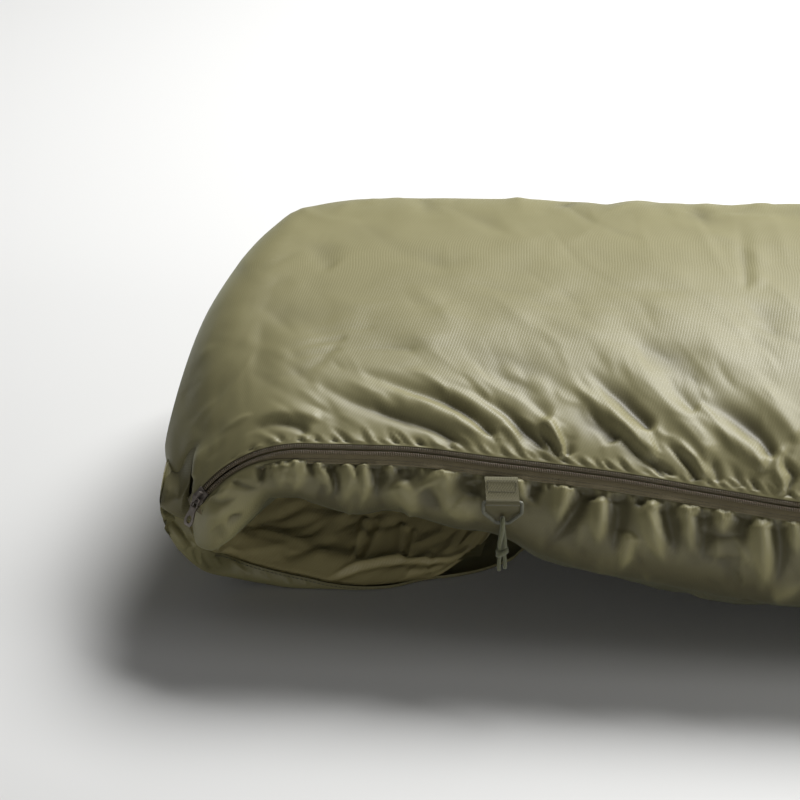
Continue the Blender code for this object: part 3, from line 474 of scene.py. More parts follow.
SHELL = cloth_material("olive_shell", (0.208, 0.189, 0.090), rough=0.50, sheen=0.12, spec=0.38, rib=0.0027, rib_bump=0.22, contrast=0.12)
# the lining is the shell's olive lightened about twofold: painted light for the hood's shaded recess; the sleeping bag
# and the draft flap share it
LINING_PAINTED_LIGHT = cloth_material("hood_lining", (0.400, 0.345, 0.165), rough=0.42, sheen=0.15, contrast=0.12, rib=0.0027)
# the floor sheet is the shell's olive at about half: painted shade for the sack's underside
FLOOR_PAINTED_SHADE = cloth_material("floor_cloth", (0.105, 0.100, 0.055), rough=0.55, sheen=0.1, rib=0.005, contrast=0.06)
TAPE = woven_material("zip_tape_weave", (0.175, 0.143, 0.074), 0.0009, 0.0007)
WEBBING = woven_material("webbing_weave", (0.118, 0.106, 0.048), 0.0022, 0.0014, herring=True, bump=0.9)
CORD = woven_material("cord_braid", (0.118, 0.122, 0.062), 0.0030, 0.0022, herring=True, bump=0.9)
THREAD = woven_material("thread", (0.070, 0.065, 0.036), 0.0004, 0.0006)
COIL = worn_material("coil_nylon", (0.048, 0.036, 0.020), 0.30, 0.0, (0.26, 0.21, 0.14), scale=400, spec=0.6)
METAL = worn_material("dark_metal", (0.150, 0.128, 0.112), 0.34, 0.85, (0.42, 0.38, 0.34))
RING = worn_material("ring_paint", (0.066, 0.066, 0.038), 0.50, 0.0, (0.20, 0.20, 0.15))


def dress(obj, mat):
    obj.data.materials.clear()
    obj.data.materials.append(mat)
    return obj


# ------------------------------------------------------------------ the panels' grids
def station_x(s):
    return loft(s, np.full(np.shape(s), math.radians(68)))[..., 0]


def station_list(fine, coarse, start, end):
    s = [start]
    while s[-1] < end:
        x = X0 + s[-1]
        s.append(s[-1] + (fine if x < -0.26 else coarse))
    s[-1] = end
    return np.array(s)


def zip_edge(x, offset, lift):
    """A point beside the zip, for a lofted x; None past the zip's ends."""
    turn = ARC_X - ARC_R * math.sin(ARC_END)
    if x < turn or x > ZIP_FOOT_X + 0.01:
        return None
    u = x - ARC_X if x >= ARC_X else -math.asin(min(0.999, (ARC_X - x) / ARC_R))
    c, run, cross, face = zip_frame(u)
    if offset < 0:
        # round the head turn the wall's folded edge comes right up to the chain and hides its tape
        k = float(smooth(x, -0.835, -0.745))
        offset, lift = -0.0060 + k * (offset + 0.0060), 0.0022 + k * (lift - 0.0022)
    return c + cross * offset + face * lift


def panel_grid(stations, offset, lift, t_open, t_foot, t_end, rows, fall, crowd=1.6):
    """Rows from the zip's edge, or its seams past the ends, to a section angle; crowd packs rows by the zip."""
    scan = np.radians(np.arange(40.0, 130.0, 0.2))
    share = np.linspace(0, 1, rows) ** crowd
    grid = np.zeros((len(stations), rows, 3))
    edges = np.zeros((len(stations), 3))
    known = []
    for i, s in enumerate(stations):
        e = zip_edge(float(station_x(np.array(s))), offset, lift)
        if e is None:
            known.append(False)
        else:
            edges[i] = e - SHIFT
            known.append(True)
    first, last = known.index(True), len(known) - 1 - known[::-1].index(True)
    for i, s in enumerate(stations):
        if i < first:
            k = (stations[first] - s) / max(stations[first] - stations[0], 1e-6)
            goal = loft(s, math.radians(t_open))
            edges[i] = edges[first] + smooth(k, 0, 1) * (goal - edges[first])
        elif i > last:
            goal = loft(s, math.radians(float(through(float(loft(s, 1.2)[0]), [ZIP_FOOT_X, ZIP_FOOT_X + 0.15, 0.95], t_foot))))
            k = smooth(s, stations[last], stations[last] + 0.05)
            held = loft(s, math.radians(t_foot[0])) + (edges[last] - loft(stations[last], math.radians(t_foot[0])))
            edges[i] = held + k * (goal - held)
        ring = loft(np.full(len(scan), s), scan)
        t0 = float(scan[np.argmin(np.linalg.norm(ring - edges[i], axis=1))])
        ts = t0 + (t_end - t0) * share
        row = loft(np.full(rows, s), ts)
        w = np.clip(1 - share / fall, 0, 1) ** 2
        grid[i] = row + w[:, None] * (edges[i] - row[0])
    return grid


def middle_of(stations):
    return ((loft(stations, np.zeros(len(stations))) + loft(stations, np.full(len(stations), math.pi))) / 2)[:, None, :]


TOP_S = station_list(0.0027, 0.0062, 0.0118, 1.8768)
top = panel_grid(TOP_S, 0.0050, 0.0027, 106.0, [75.0, 78.0, 87.5], FAR_TOP, 170, 0.25)
top_n = normals_of(top, middle_of(TOP_S))
WALL_S = station_list(0.0027, 0.0062, 0.030, 1.8768)
wall = panel_grid(WALL_S, -0.0122, -0.0010, 100.0, [75.6, 78.6, 88.1], NEAR_SEAM, 70, 0.45, crowd=1.15)
wall_n = normals_of(wall, middle_of(WALL_S))

# the wall's lower line rises and falls, and its head end is a full roll below the slider
share = np.linspace(0, 1, wall.shape[1])[None, :]
s_col = WALL_S[:, None]
dz = through(WALL_S, [0.03, 0.05, 0.075, 0.098, 0.120, 0.135, 0.16, 0.18, 0.215, 0.25, 0.30, 0.345, 0.385, 0.43, 0.49, 0.55, 0.62, 0.75, 1.9],
             [-0.042, -0.047, -0.045, -0.030, -0.006, 0.012, 0.012, 0.004, -0.003, 0.006, 0.004, 0.012, 0.006, 0.004, 0.008, 0.010, 0.008, 0.0, 0.0])[:, None]
wall[..., 2] += dz * smooth(share, 0.18, 0.78)
# the roll swells out, and turns in at its left end
swell = np.exp(-((s_col - 0.078) / 0.034) ** 2) * np.sin(math.pi * np.clip(share / 0.95, 0, 1))
wall[..., 1] -= 0.016 * swell
tuck = 1 - smooth(s_col, 0.030, 0.062)
wall[..., 1] += 0.045 * tuck * smooth(share, 0.0, 0.5)
wall[..., 0] += 0.012 * tuck * smooth(share, 0.0, 0.3)

top_uv, wall_uv = chart(top + SHIFT), chart(wall + SHIFT)
seen_top = smooth((top_n @ BACK), -0.05, 0.25)
seen_wall = smooth((wall_n @ BACK), -0.35, 0.05)

d_top = np.zeros(top.shape[0] * top.shape[1])
d_wall = np.zeros(wall.shape[0] * wall.shape[1])
tu, wu = top_uv.reshape(-1, 2), wall_uv.reshape(-1, 2)

# --- the long folds that run down into the zip from the upper left
MM = 0.001
TOP_FOLDS = [
    # line (mm along, mm down), depth mm, reach below, reach above
    ([(290, 374), (318, 384), (335, 392), (353, 401), (374, 408), (396, 415), (418, 422), (437, 429), (455, 440), (466, 449)], -5.0, 6.5, 5.0),
    ([(300, 365), (330, 375), (360, 387), (390, 398), (425, 407), (450, 418), (475, 435), (488, 450)], 4.0, 8, 9),
    ([(345, 371), (374, 377), (390, 383), (410, 390), (429, 395), (446, 401), (464, 410), (479, 421), (492, 434), (500, 448)], -5.5, 6, 5),
    ([(350, 362), (385, 370), (420, 378), (450, 388), (478, 401), (500, 418), (515, 436), (521, 450)], 4.0, 8, 9),
    ([(425, 374), (455, 387), (473, 394), (488, 402), (507, 413), (523, 428), (540, 443), (548, 456)], -6.0, 7, 5),
    ([(440, 362), (475, 374), (505, 389), (530, 406), (548, 424), (560, 442), (566, 458)], 4.5, 7, 10),
    ([(468, 362), (488, 371), (508, 384), (527, 398), (540, 411), (553, 424)], -5.0, 9, 8),
    ([(530, 421), (543, 433), (554, 446), (561, 458)], -4.5, 3.2, 2.6),
    ([(535, 410), (548, 426), (558, 444), (564, 460)], 4.0, 4.5, 4.0),
    ([(553, 415), (560, 430), (566, 446), (569, 458)], -4.5, 4.0, 6.0),
    ([(560, 395), (575, 405), (590, 415), (606, 428), (618, 444)], -4.5, 13, 9),
    ([(554, 372), (576, 387), (598, 406), (617, 421), (634, 438), (650, 454), (660, 462)], 6.5, 6.5, 8),
    ([(594, 411), (611, 426), (626, 439), (641, 453), (660, 467), (678, 477)], -5.0, 7, 4.5),
    ([(577, 362), (590, 372), (604, 384), (622, 398), (634, 410), (648, 423), (655, 433)], -6.5, 8, 6.5),
    ([(600, 345), (625, 366), (650, 388), (672, 410), (690, 430), (705, 450), (712, 468)], 4.5, 8, 12),
    ([(659, 437), (674, 450), (687, 463), (696, 477), (700, 484)], -5.0, 3.2, 3.0),
    ([(664, 430), (682, 446), (697, 462), (707, 480)], 3.5, 4.5, 4.0),
    ([(700, 445), (710, 458), (716, 470), (720, 484)], -3.5, 4.0, 3.5),
    ([(685, 405), (705, 420), (725, 434), (745, 450), (760, 465), (769, 474)], 5.0, 6.5, 9),
    ([(690, 392), (715, 405), (738, 418), (756, 432), (768, 446), (776, 462)], -6.5, 9, 8),
    ([(730, 375), (755, 392), (775, 410), (790, 428), (800, 445)], 4.0, 8, 11),
    ([(785, 436), (791, 448), (785, 462), (794, 476), (788, 490), (795, 500)], -5.0, 3.6, 3.2),
    ([(776, 438), (779, 455), (776, 470), (783, 486), (780, 497)], 4.5, 4.0, 4.5),
    ([(725, 458), (732, 468), (738, 480), (741, 490)], -3.0, 3.5, 4.0),
    ([(745, 470), (752, 480), (756, 492)], -2.8, 3.0, 3.5),
    # round the head turn
    ([(240, 438), (252, 430), (265, 424), (283, 422), (298, 426), (310, 436)], -3.6, 5.0, 4.0),
    ([(246, 424), (262, 416), (282, 412), (302, 414), (322, 422)], 3.0, 6.0, 7.0),
    ([(213, 436), (224, 430), (239, 421), (252, 414)], 1.3, 3.0, 3.0),
    ([(204, 438), (197, 443), (190, 451), (185, 463), (183, 478), (183, 492), (188, 503)], -11.0, 3.4, 5.0),
    ([(212, 440), (203, 452), (196, 466), (192, 480)], 3.5, 6.0, 5.0),
    ([(176, 430), (172, 450), (170, 470), (170, 495), (176, 512)], 4.0, 6.0, 5.0),
    # broad slack swells on the upper face
    ([(330, 300), (420, 330), (500, 350), (560, 372)], 3.0, 26, 30),
    ([(380, 350), (470, 352), (540, 372), (600, 402)], -3.0, 16, 16),
    ([(560, 250), (640, 300), (720, 350), (790, 400)], 3.5, 30, 34),
    ([(610, 320), (660, 352), (705, 385), (740, 415)], -3.5, 15, 16),
    ([(500, 290), (560, 320), (620, 352), (665, 392)], 2.5, 16, 18),
    ([(640, 372), (670, 392), (700, 412)], -2.5, 9, 9),
    ([(738, 212), (741, 240), (744, 262), (746, 292)], -1.3, 5, 6),
    ([(752, 215), (756, 245), (760, 290)], 1.0, 8, 8),
    ([(275, 352), (310, 344), (350, 337)], -1.0, 2.2, 2.2),
    ([(268, 361), (300, 356), (345, 348)], -0.8, 2.0, 2.0),
    ([(280, 338), (330, 330), (380, 328)], -0.6, 2.4, 2.4),
    ([(340, 352), (380, 348), (420, 350)], -0.9, 2.5, 2.5),
    ([(255, 300), (265, 340), (262, 380), (250, 410)], -1.5, 14, 14),
    ([(300, 240), (320, 250), (332, 270)], -1.5, 10, 12),
]
for line, depth, below, above in TOP_FOLDS:
    if max(below, above) >= 14:
        fold(tu, d_top, line, depth * MM * 0.9, below, above, fade=(0.5, 0.5), sharp=1.8)
    else:
        fold(tu, d_top, line, depth * MM * 0.98, below * 1.15, above * 1.35, fade=(0.65, 0.12), sharp=1.9, spread=0.9)

# --- puckers where the cloth is gathered into the upper tape
rng = np.random.default_rng(11)
ZC = np.array([chart(zip_frame(u)[0]) for u in np.linspace(-math.radians(44), ZIP_FOOT_X - ARC_X, 300)])
pos = 232.0
while pos < 900:
    v = float(np.interp(pos, ZC[:, 0], ZC[:, 1]))
    h = rng.uniform(9, 26)
    lean = rng.uniform(0.55, 1.15) * (1 if pos > 280 else -0.4)
    bend = rng.uniform(-2, 2)
    line = [(pos - lean * h, v - 5 - h), (pos - lean * h * 0.5 + bend, v - 5 - h * 0.5), (pos, v - 4)]
    fold(tu, d_top, line, -rng.uniform(1.0, 2.4) * MM, rng.uniform(2.4, 4.2), rng.uniform(2.4, 3.6), fade=(0.6, 0.02), sharp=1.8)
    line = [(a + rng.uniform(4, 7), b) for a, b in line]
    fold(tu, d_top, line, rng.uniform(1.2, 2.4) * MM, rng.uniform(2.4, 4.0), rng.uniform(2.4, 4.0), fade=(0.6, 0.02), sharp=1.7)
    pos += rng.uniform(9, 21)


def slope(c):
    return 30 + 22 * smooth(c[0], 300, 700) if c[0] > 270 else -20


wrinkles(tu, d_top, 5, 170, ((270, 330), (800, 460)), slope, 9, (24, 80), (2.0, 5.5), (0.0004, 0.0014),
         mask=lambda c: float(smooth(c[1], 330, 400)))
wrinkles(tu, d_top, 6, 130, ((190, 200), (800, 360)), lambda c: 8 + 20 * smooth(c[0], 300, 800), 14, (40, 150), (4, 14), (0.0003, 0.0010))
wrinkles(tu, d_top, 9, 60, ((165, 300), (270, 480)), -62, 12, (30, 90), (3, 8), (0.0002, 0.0007))

# --- the gathered wall under the zip
WALL_FOLDS = [
    ([(291, 458), (297, 472), (294, 496)], 4.0, 6, 6), ([(279, 462), (281, 476), (278, 492)], 2.5, 6, 6),
    ([(318, 458), (322, 470), (331, 484), (324, 500)], 4.5, 5, 6), ([(325, 458), (332, 474), (336, 490), (331, 502)], -5.5, 4.5, 4.5),
    ([(310, 458), (312, 470), (315, 480)], -3.0, 3, 3), ([(344, 458), (350, 474), (348, 492), (344, 508)], 4.0, 5.5, 6),
    ([(363, 458), (366, 474), (364, 494), (360, 510)], 5.5, 5.5, 6), ([(371, 460), (376, 478), (378, 498)], -5.5, 7, 6),
    ([(355, 460), (357, 472), (356, 484)], -3.0, 3, 3), ([(388, 458), (391, 470), (390, 482)], 2.2, 3, 3),
    ([(396, 480), (404, 494), (414, 506), (424, 518)], 4.5, 7, 7), ([(402, 462), (408, 478), (416, 492)], -2.6, 5, 5),
    ([(441, 462), (448, 478), (456, 492)], 3.5, 6, 7), ([(432, 470), (440, 490), (452, 510), (470, 526)], 3.5, 9, 9),
    ([(425, 485), (436, 503), (446, 516)], -3.5, 6, 6), ([(462, 470), (470, 488), (478, 506)], -2.5, 6, 6),
    ([(474, 480), (477, 492), (484, 500)], -4.0, 3.5, 3.5), ([(455, 500), (470, 514), (484, 524)], 2.5, 6, 6),
    ([(524, 474), (522, 492), (528, 506)], 4.0, 6, 5), ([(534, 478), (533, 494), (538, 508)], -4.0, 5, 5),
    ([(569, 482), (563, 508), (558, 534)], 5.0, 7, 7), ([(588, 482), (580, 500), (562, 530), (545, 548)], -6.5, 7, 7),
    ([(602, 494), (600, 522), (598, 550)], 5.5, 7, 7), ([(614, 490), (618, 520), (612, 560)], -5.5, 7, 6),
    ([(632, 530), (625, 554), (618, 578)], 4.5, 6, 6), ([(648, 496), (652, 526), (660, 552), (668, 568)], 6.0, 7, 7),
    ([(640, 486), (642, 504), (640, 520)], -3.5, 4, 5), ([(664, 500), (672, 530), (678, 566)], -4.5, 6, 6),
    ([(686, 500), (688, 526), (692, 556)], 4.5, 6.5, 7), ([(703, 508), (704, 540), (702, 566)], -4.5, 7, 6),
    ([(722, 504), (722, 522), (724, 538)], 4.0, 5.5, 6), ([(742, 508), (744, 528), (742, 550)], -3.5, 6, 5),
    ([(698, 530), (720, 536), (748, 535)], -2.4, 3.5, 3.0), ([(700, 556), (725, 560), (752, 555)], -2.0, 3.5, 3.0),
    ([(760, 516), (763, 550), (768, 592)], 5.5, 8, 8), ([(776, 518), (780, 550), (778, 590)], -5.0, 6, 6),
    ([(790, 516), (794, 536), (798, 560)], 4.0, 5, 5), ([(770, 598), (790, 590), (806, 580)], 2.5, 6, 6),
    # across the roll at the head end
    ([(207, 498), (217, 503), (228, 500), (240, 496)], -2.8, 3.5, 3.0), ([(203, 512), (216, 514), (232, 516)], 2.6, 7, 7),
    ([(226, 522), (236, 518), (246, 516)], -4.0, 3.0, 2.5), ([(214, 526), (222, 536), (226, 545)], -2.0, 4, 4),
    ([(230, 480), (246, 487), (262, 490)], -3.0, 2.6, 2.6), ([(262, 464), (260, 474), (263, 488)], -4.5, 2.6, 2.6),
    ([(212, 486), (222, 490), (232, 484)], 2.2, 4, 4), ([(236, 528), (228, 536), (218, 546)], 1.6, 4, 4),
]
for line, depth, below, above in WALL_FOLDS:
    level = abs(line[0][1] - line[-1][1]) < 12 and line[0][0] > 600
    k = MM * (0.6 if level else 1.25)
    fold(wu, d_wall, line, depth * k, below * 1.25, above * 1.25, fade=(0.16, 0.55), sharp=1.8, spread=0.5)
pos = 262.0
rng = np.random.default_rng(12)
while pos < 900:
    v = float(np.interp(pos, ZC[:, 0], ZC[:, 1])) + 12
    h = rng.uniform(7, 17)
    lean = rng.uniform(-0.35, 0.35)
    line = [(pos, v - 2), (pos + lean * h * 0.6, v + h * 0.5), (pos + lean * h, v + h)]
    fold(wu, d_wall, line, -rng.uniform(1.5, 3.0) * MM, 1.9, 1.9, fade=(0.02, 0.6), sharp=1.5)
    line = [(a + rng.uniform(3.4, 5), b) for a, b in line]
    fold(wu, d_wall, line, rng.uniform(1.0, 2.2) * MM, 2.4, 2.4, fade=(0.02, 0.6), sharp=1.7)
    pos += rng.uniform(6, 13)
wrinkles(wu, d_wall, 7, 150, ((270, 470), (800, 600)), 84, 14, (16, 60), (2.5, 6), (0.0004, 0.0014))

# --- the rest of the sack, past what is laid out above: gathers along the zip, and slack across the top
s_top = np.repeat(TOP_S, top.shape[1])
a_top = cloth_uv(top)[..., 1].reshape(-1)
away = smooth(s_top, 0.66, 0.72)
far_side = smooth(a_top, 0.42, 0.55)
flow = np.stack([s_top * 1000, a_top * 1000], -1)
extra = np.zeros(len(s_top))
rng = np.random.default_rng(21)
pos = 640.0
while pos < 1500:
    h = rng.uniform(60, 220)
    k = rng.uniform(0.5, 1.1)
    line = [(pos, 4), (pos - k * h * 0.45, h * 0.5), (pos - k * h, h)]
    fold(flow, extra, line, -rng.uniform(2.5, 6) * MM, rng.uniform(5, 9), rng.uniform(5, 9), fade=(0.04, 0.5), sharp=1.5)
    line = [(a + rng.uniform(10, 16), b) for a, b in line]
    fold(flow, extra, line, rng.uniform(2.5, 5) * MM, rng.uniform(6, 10), rng.uniform(6, 10), fade=(0.04, 0.5), sharp=1.7)
    pos += rng.uniform(20, 42)
wrinkles(flow, extra, 22, 260, ((640, 100), (1880, 720)), 60, 30, (60, 260), (8, 26), (0.0008, 0.0032))
wrinkles(flow, extra, 23, 160, ((20, 420), (1880, 760)), 80, 22, (60, 200), (8, 20), (0.0008, 0.0028))
d_top += extra * np.maximum(away, far_side)

s_wall = np.repeat(WALL_S, wall.shape[1])
a_wall = cloth_uv(wall)[..., 1].reshape(-1)
flow = np.stack([s_wall * 1000, a_wall * 1000], -1)
extra = np.zeros(len(s_wall))
pos = 660.0
while pos < 1880:
    h = rng.uniform(50, 150)
    k = rng.uniform(-0.2, 0.3)
    line = [(pos, 3), (pos + k * h * 0.5, h * 0.5), (pos + k * h, h)]
    fold(flow, extra, line, -rng.uniform(2.5, 5.5) * MM, rng.uniform(4, 7), rng.uniform(4, 7), fade=(0.04, 0.5), sharp=1.5)
    line = [(a + rng.uniform(8, 14), b) for a, b in line]
    fold(flow, extra, line, rng.uniform(2.5, 5) * MM, rng.uniform(5, 8), rng.uniform(5, 8), fade=(0.04, 0.5), sharp=1.7)
    pos += rng.uniform(14, 34)
d_wall += extra * smooth(s_wall, 0.64, 0.70)

# the panels' edges are held by their seams
hold_top = smooth(np.linspace(0, 1, top.shape[1]) ** 1.6, 0.0, 0.012) * (1 - smooth(np.linspace(0, 1, top.shape[1]), 0.985, 1.0))
hold_top = hold_top[None, :] * smooth(TOP_S, 0.0118, 0.035)[:, None]
hold_wall = (0.25 + 0.75 * smooth(share[0], 0.0, 0.06)) * (1 - smooth(share[0], 0.96, 1.0))
hold_wall = hold_wall[None, :] * smooth(WALL_S, 0.030, 0.05)[:, None]
d_top = d_top.reshape(top.shape[:2]) * hold_top
d_wall = d_wall.reshape(wall.shape[:2]) * hold_wall
# painted shade: these masks darken the cloth in the fold valleys, and over the whole zip wall, more towards its bottom
painted_shade_top = np.clip(-d_top / 0.0056, 0, 1) ** 1.2
painted_shade_wall = np.clip(0.62 + 0.38 * smooth(share, 0.35, 0.85) - d_wall / 0.0040, 0, 1) * smooth(s_col, 0.105, 0.150) + np.clip(-d_wall / 0.006, 0, 1) * (1 - smooth(s_col, 0.105, 0.150))
top_f = top + top_n * d_top[..., None]
wall_f = wall + wall_n * d_wall[..., None]
top_f[..., 2] = np.maximum(top_f[..., 2], 0.002)
wall_f[..., 2] = np.maximum(wall_f[..., 2], 0.002)

shell_top = dress(grid_object("shell_top", top_f + SHIFT, "bag", uv=cloth_uv(top), attrs={"crease": painted_shade_top}), SHELL)
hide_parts("top_panel")
shell_wall = dress(grid_object("shell_zip_wall", wall_f + SHIFT, "bag", uv=cloth_uv(wall), flip=True, attrs={"crease": painted_shade_wall}), SHELL)
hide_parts("zip_side_wall")


# ------------------------------------------------------------------ far side, foot and floor
FAR_S = station_list(0.010, 0.012, 0.020, 1.8768)
ts = np.linspace(FAR_TOP, FAR_SEAM, 46)
far = loft(FAR_S[:, None], ts[None, :])
far_n = normals_of(far, middle_of(FAR_S))
far_uv = cloth_uv(far)
d = np.zeros(far.shape[0] * far.shape[1])
flow = far_uv.reshape(-1, 2) * 1000
rng = np.random.default_rng(31)
pos = 20.0
while pos < 1860:
    h = rng.uniform(60, 160)
    k = rng.uniform(-0.3, 0.3)
    line = [(pos, 2), (pos + k * h * 0.5, h * 0.5), (pos + k * h, h)]
    fold(flow, d, line, -rng.uniform(2.5, 5.0) * MM, rng.uniform(9, 13), rng.uniform(9, 13), fade=(0.04, 0.5), sharp=1.5)
    pos += rng.uniform(34, 70)
wrinkles(flow, d, 32, 240, ((10, 20), (1880, 260)), 80, 25, (50, 200), (12, 26), (0.0010, 0.0036))
edge = np.linspace(0, 1, far.shape[1])
hold = smooth(edge, 0, 0.05) * (1 - smooth(edge, 0.95, 1))
far_f = far + far_n * (d.reshape(far.shape[:2]) * hold[None, :])[..., None]
far_f[..., 2] = np.maximum(far_f[..., 2], 0.002)
shell_far = dress(grid_object("shell_far_wall", far_f + SHIFT, "bag", uv=far_uv), SHELL)
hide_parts("far_side_wall")

# the foot end closes on the last section, in rings drawn in to its middle
FOOT_S = 1.8768
ang = np.linspace(-math.pi, math.pi, 121)[:-1]
rings = []
for k, ins in ((0, 0), (0.006, 0.0), (0.0105, 0.10), (0.014, 0.22), (0.0162, 0.38), (0.0174, 0.56), (0.018, 0.74), (0.0183, 0.90), (0.0184, 0.985)):
    r = loft(np.full(len(ang), min(FOOT_S + k * 0.6, 1.8988)), ang)
    c = r.mean(0)
    r = c + (r - c) * (1 - ins)
    r[:, 0] = loft(np.full(len(ang), FOOT_S), ang)[:, 0] + k
    rings.append(r)
foot = np.array(rings)
pleat = np.sin(ang * 23) * 0.5 + np.sin(ang * 37 + 1) * 0.5
lift = np.array([0, .3, 1, 1, .7, .4, .2, .1, 0])[:, None] * pleat[None, :] * 0.0022
foot[..., 0] += lift
foot[..., 2] = np.maximum(foot[..., 2], 0.0015)
shell_foot = dress(grid_object("shell_foot", foot + SHIFT, "bag", uv=cloth_uv(foot), wrap=True), SHELL)
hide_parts("foot_panel")

# the floor sheet runs round under the sack from seam to seam
under_s = np.concatenate([np.arange(0.030, 0.62, 0.0045), np.arange(0.62, 1.876, 0.012), [1.8768]])
under_t = np.linspace(NEAR_SEAM - 0.004, 2 * math.pi + FAR_SEAM + 0.004, 90)
under = loft(under_s[:, None], under_t[None, :])
edge = np.linspace(0, 1, under.shape[1])
raise_ = through(under_s, [0.03, 0.05, 0.075, 0.098, 0.120, 0.135, 0.16, 0.18, 0.215, 0.25, 0.30, 0.345, 0.385, 0.43, 0.49, 0.55, 0.62, 0.75, 1.9],
                 [-0.042, -0.047, -0.045, -0.030, -0.006, 0.012, 0.012, 0.004, -0.003, 0.006, 0.004, 0.012, 0.006, 0.004, 0.008, 0.010, 0.008, 0.0, 0.0])
drop = np.clip(raise_, -0.06, 0.02)[:, None] * (1 - smooth(edge, 0.0, 0.22))[None, :]
under[..., 2] += drop
under[..., 1] += (0.045 * (1 - smooth(under_s, 0.030, 0.062)))[:, None] * (1 - smooth(edge, 0, 0.5))[None, :]
under_n = normals_of(under, (loft(under_s, np.zeros(len(under_s))))[:, None, :])
under_uv = cloth_uv(under)
d = np.zeros(under.shape[0] * under.shape[1])
flow = under_uv.reshape(-1, 2) * 1000
wrinkles(flow, d, 33, 150, ((0, 5), (640, 180)), 78, 22, (40, 150), (5, 12), (0.0010, 0.0040))
wrinkles(flow, d, 34, 140, ((560, 0), (1860, 720)), 70, 40, (60, 240), (14, 30), (0.0008, 0.0030))
under_f = under + under_n * (d.reshape(under.shape[:2]) * (smooth(edge, 0, 0.04) * (1 - smooth(edge, 0.96, 1)))[None, :])[..., None]
under_f[..., 2] = np.maximum(under_f[..., 2], 0.0012)
shell_floor = dress(grid_object("shell_floor", under_f + SHIFT, "bag", uv=under_uv), FLOOR_PAINTED_SHADE)
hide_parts("floor_panel")

# ------------------------------------------------------------------ the folded hood
# The near outline that the folded hood shows: down the head end, under the slider, and along the floor.
RIM = [(-0.8990, -0.2360, 0.1985), (-0.9085, -0.2600, 0.1850), (-0.9124, -0.2680, 0.1575), (-0.9162, -0.2660, 0.1303), (-0.9149, -0.2580, 0.1102),
       (-0.9100, -0.2480, 0.0891), (-0.9015, -0.2360, 0.0645), (-0.8892, -0.2220, 0.0419), (-0.8772, -0.2040, 0.0240), (-0.8571, -0.1906, 0.0120),
       (-0.8266, -0.1871, 0.0040), (-0.7985, -0.1895, 0.0015), (-0.7646, -0.1903, 0.0015), (-0.7356, -0.1912, 0.0015), (-0.7040, -0.1862, 0.0015),
       (-0.6745, -0.1705, 0.0015), (-0.6436, -0.1623, 0.0015), (-0.6169, -0.1494, 0.0015), (-0.5904, -0.1283, 0.0015), (-0.5797, -0.1104, 0.0020),
       (-0.5738, -0.1020, 0.0020), (-0.5718, -0.0934, 0.0030)]
# Its seam with the lining, where the sheet has turned in and back up.
LIP = [(-0.8790, -0.2360, 0.1940), (-0.8865, -0.2540, 0.1820), (-0.8917, -0.2620, 0.1547), (-0.8938, -0.2580, 0.1264), (-0.8933, -0.2500, 0.1064),
       (-0.8892, -0.2400, 0.0841), (-0.8814, -0.2280, 0.0659), (-0.8730, -0.2100, 0.0500), (-0.8642, -0.1860, 0.0350), (-0.8407, -0.1875, 0.0260),
       (-0.8127, -0.1898, 0.0190), (-0.7856, -0.1926, 0.0145), (-0.7625, -0.1928, 0.0090), (-0.7326, -0.1923, 0.0060), (-0.7040, -0.1865, 0.0050),
       (-0.6735, -0.1716, 0.0050), (-0.6437, -0.1626, 0.0050), (-0.6157, -0.1496, 0.0050), (-0.5905, -0.1285, 0.0050), (-0.5807, -0.1119, 0.0050),
       (-0.5748, -0.1014, 0.0050), (-0.5728, -0.0930, 0.0050)]
INNER = [(-0.8960, -0.2560, 0.1300), (-0.8933, -0.2480, 0.1064), (-0.8892, -0.2380, 0.0841), (-0.8814, -0.2260, 0.0659), (-0.8730, -0.2090, 0.0500),
         (-0.8642, -0.1850, 0.0350), (-0.8407, -0.1865, 0.0262), (-0.8127, -0.1888, 0.0192), (-0.7856, -0.1916, 0.0147), (-0.7625, -0.1918, 0.0094),
         (-0.7326, -0.1913, 0.0070), (-0.7040, -0.1855, 0.0065), (-0.6810, -0.1775, 0.0065), (-0.6637, -0.1740, 0.0070), (-0.6392, -0.1430, 0.0080),
         (-0.6163, -0.1020, 0.0080), (-0.6000, -0.0500, 0.0080), (-0.5880, 0.0100, 0.0080), (-0.5780, 0.0600, 0.0080)]


def even_rows(lines, rows):
    """Smooth curves through point lists, sampled at the same shares of the first one's length."""
    dense = [curve_points(p, 12) for p in lines]
    dist = np.concatenate([[0], np.cumsum(np.linalg.norm(np.diff(dense[0], axis=0), axis=1))])
    at = np.linspace(0, dist[-1], rows)
    return [np.stack([np.interp(at, dist, d[:, i]) for i in range(3)], -1) for d in dense]


ROWS = 260
rim, lip = even_rows([RIM, LIP], ROWS)
share_r = np.linspace(0, 1, ROWS)
# across to the far edge, along the fold's slant
cols = 110
k = np.linspace(0, 1, cols)[None, :]
far_y = through(share_r, [0, .12, .25, .40, .6, .85, 1], [.240, .262, .250, .225, .205, .185, .140])[:, None]
y = rim[:, 1:2] + (far_y - rim[:, 1:2]) * k
x = rim[:, 0:1] + SKEW * (y - rim[:, 1:2])
z = np.broadcast_to(rim[:, 2:3], y.shape) + 0
across = np.stack([x, y, z], -1)
head_rim = loft(0.012, np.radians(np.linspace(88, -84, cols)))
w = (1 - smooth(share_r, 0.0, 0.16))[:, None, None] * smooth(k, 0.0, 0.12)[..., None]
across = across * (1 - w) + head_rim[None] * w
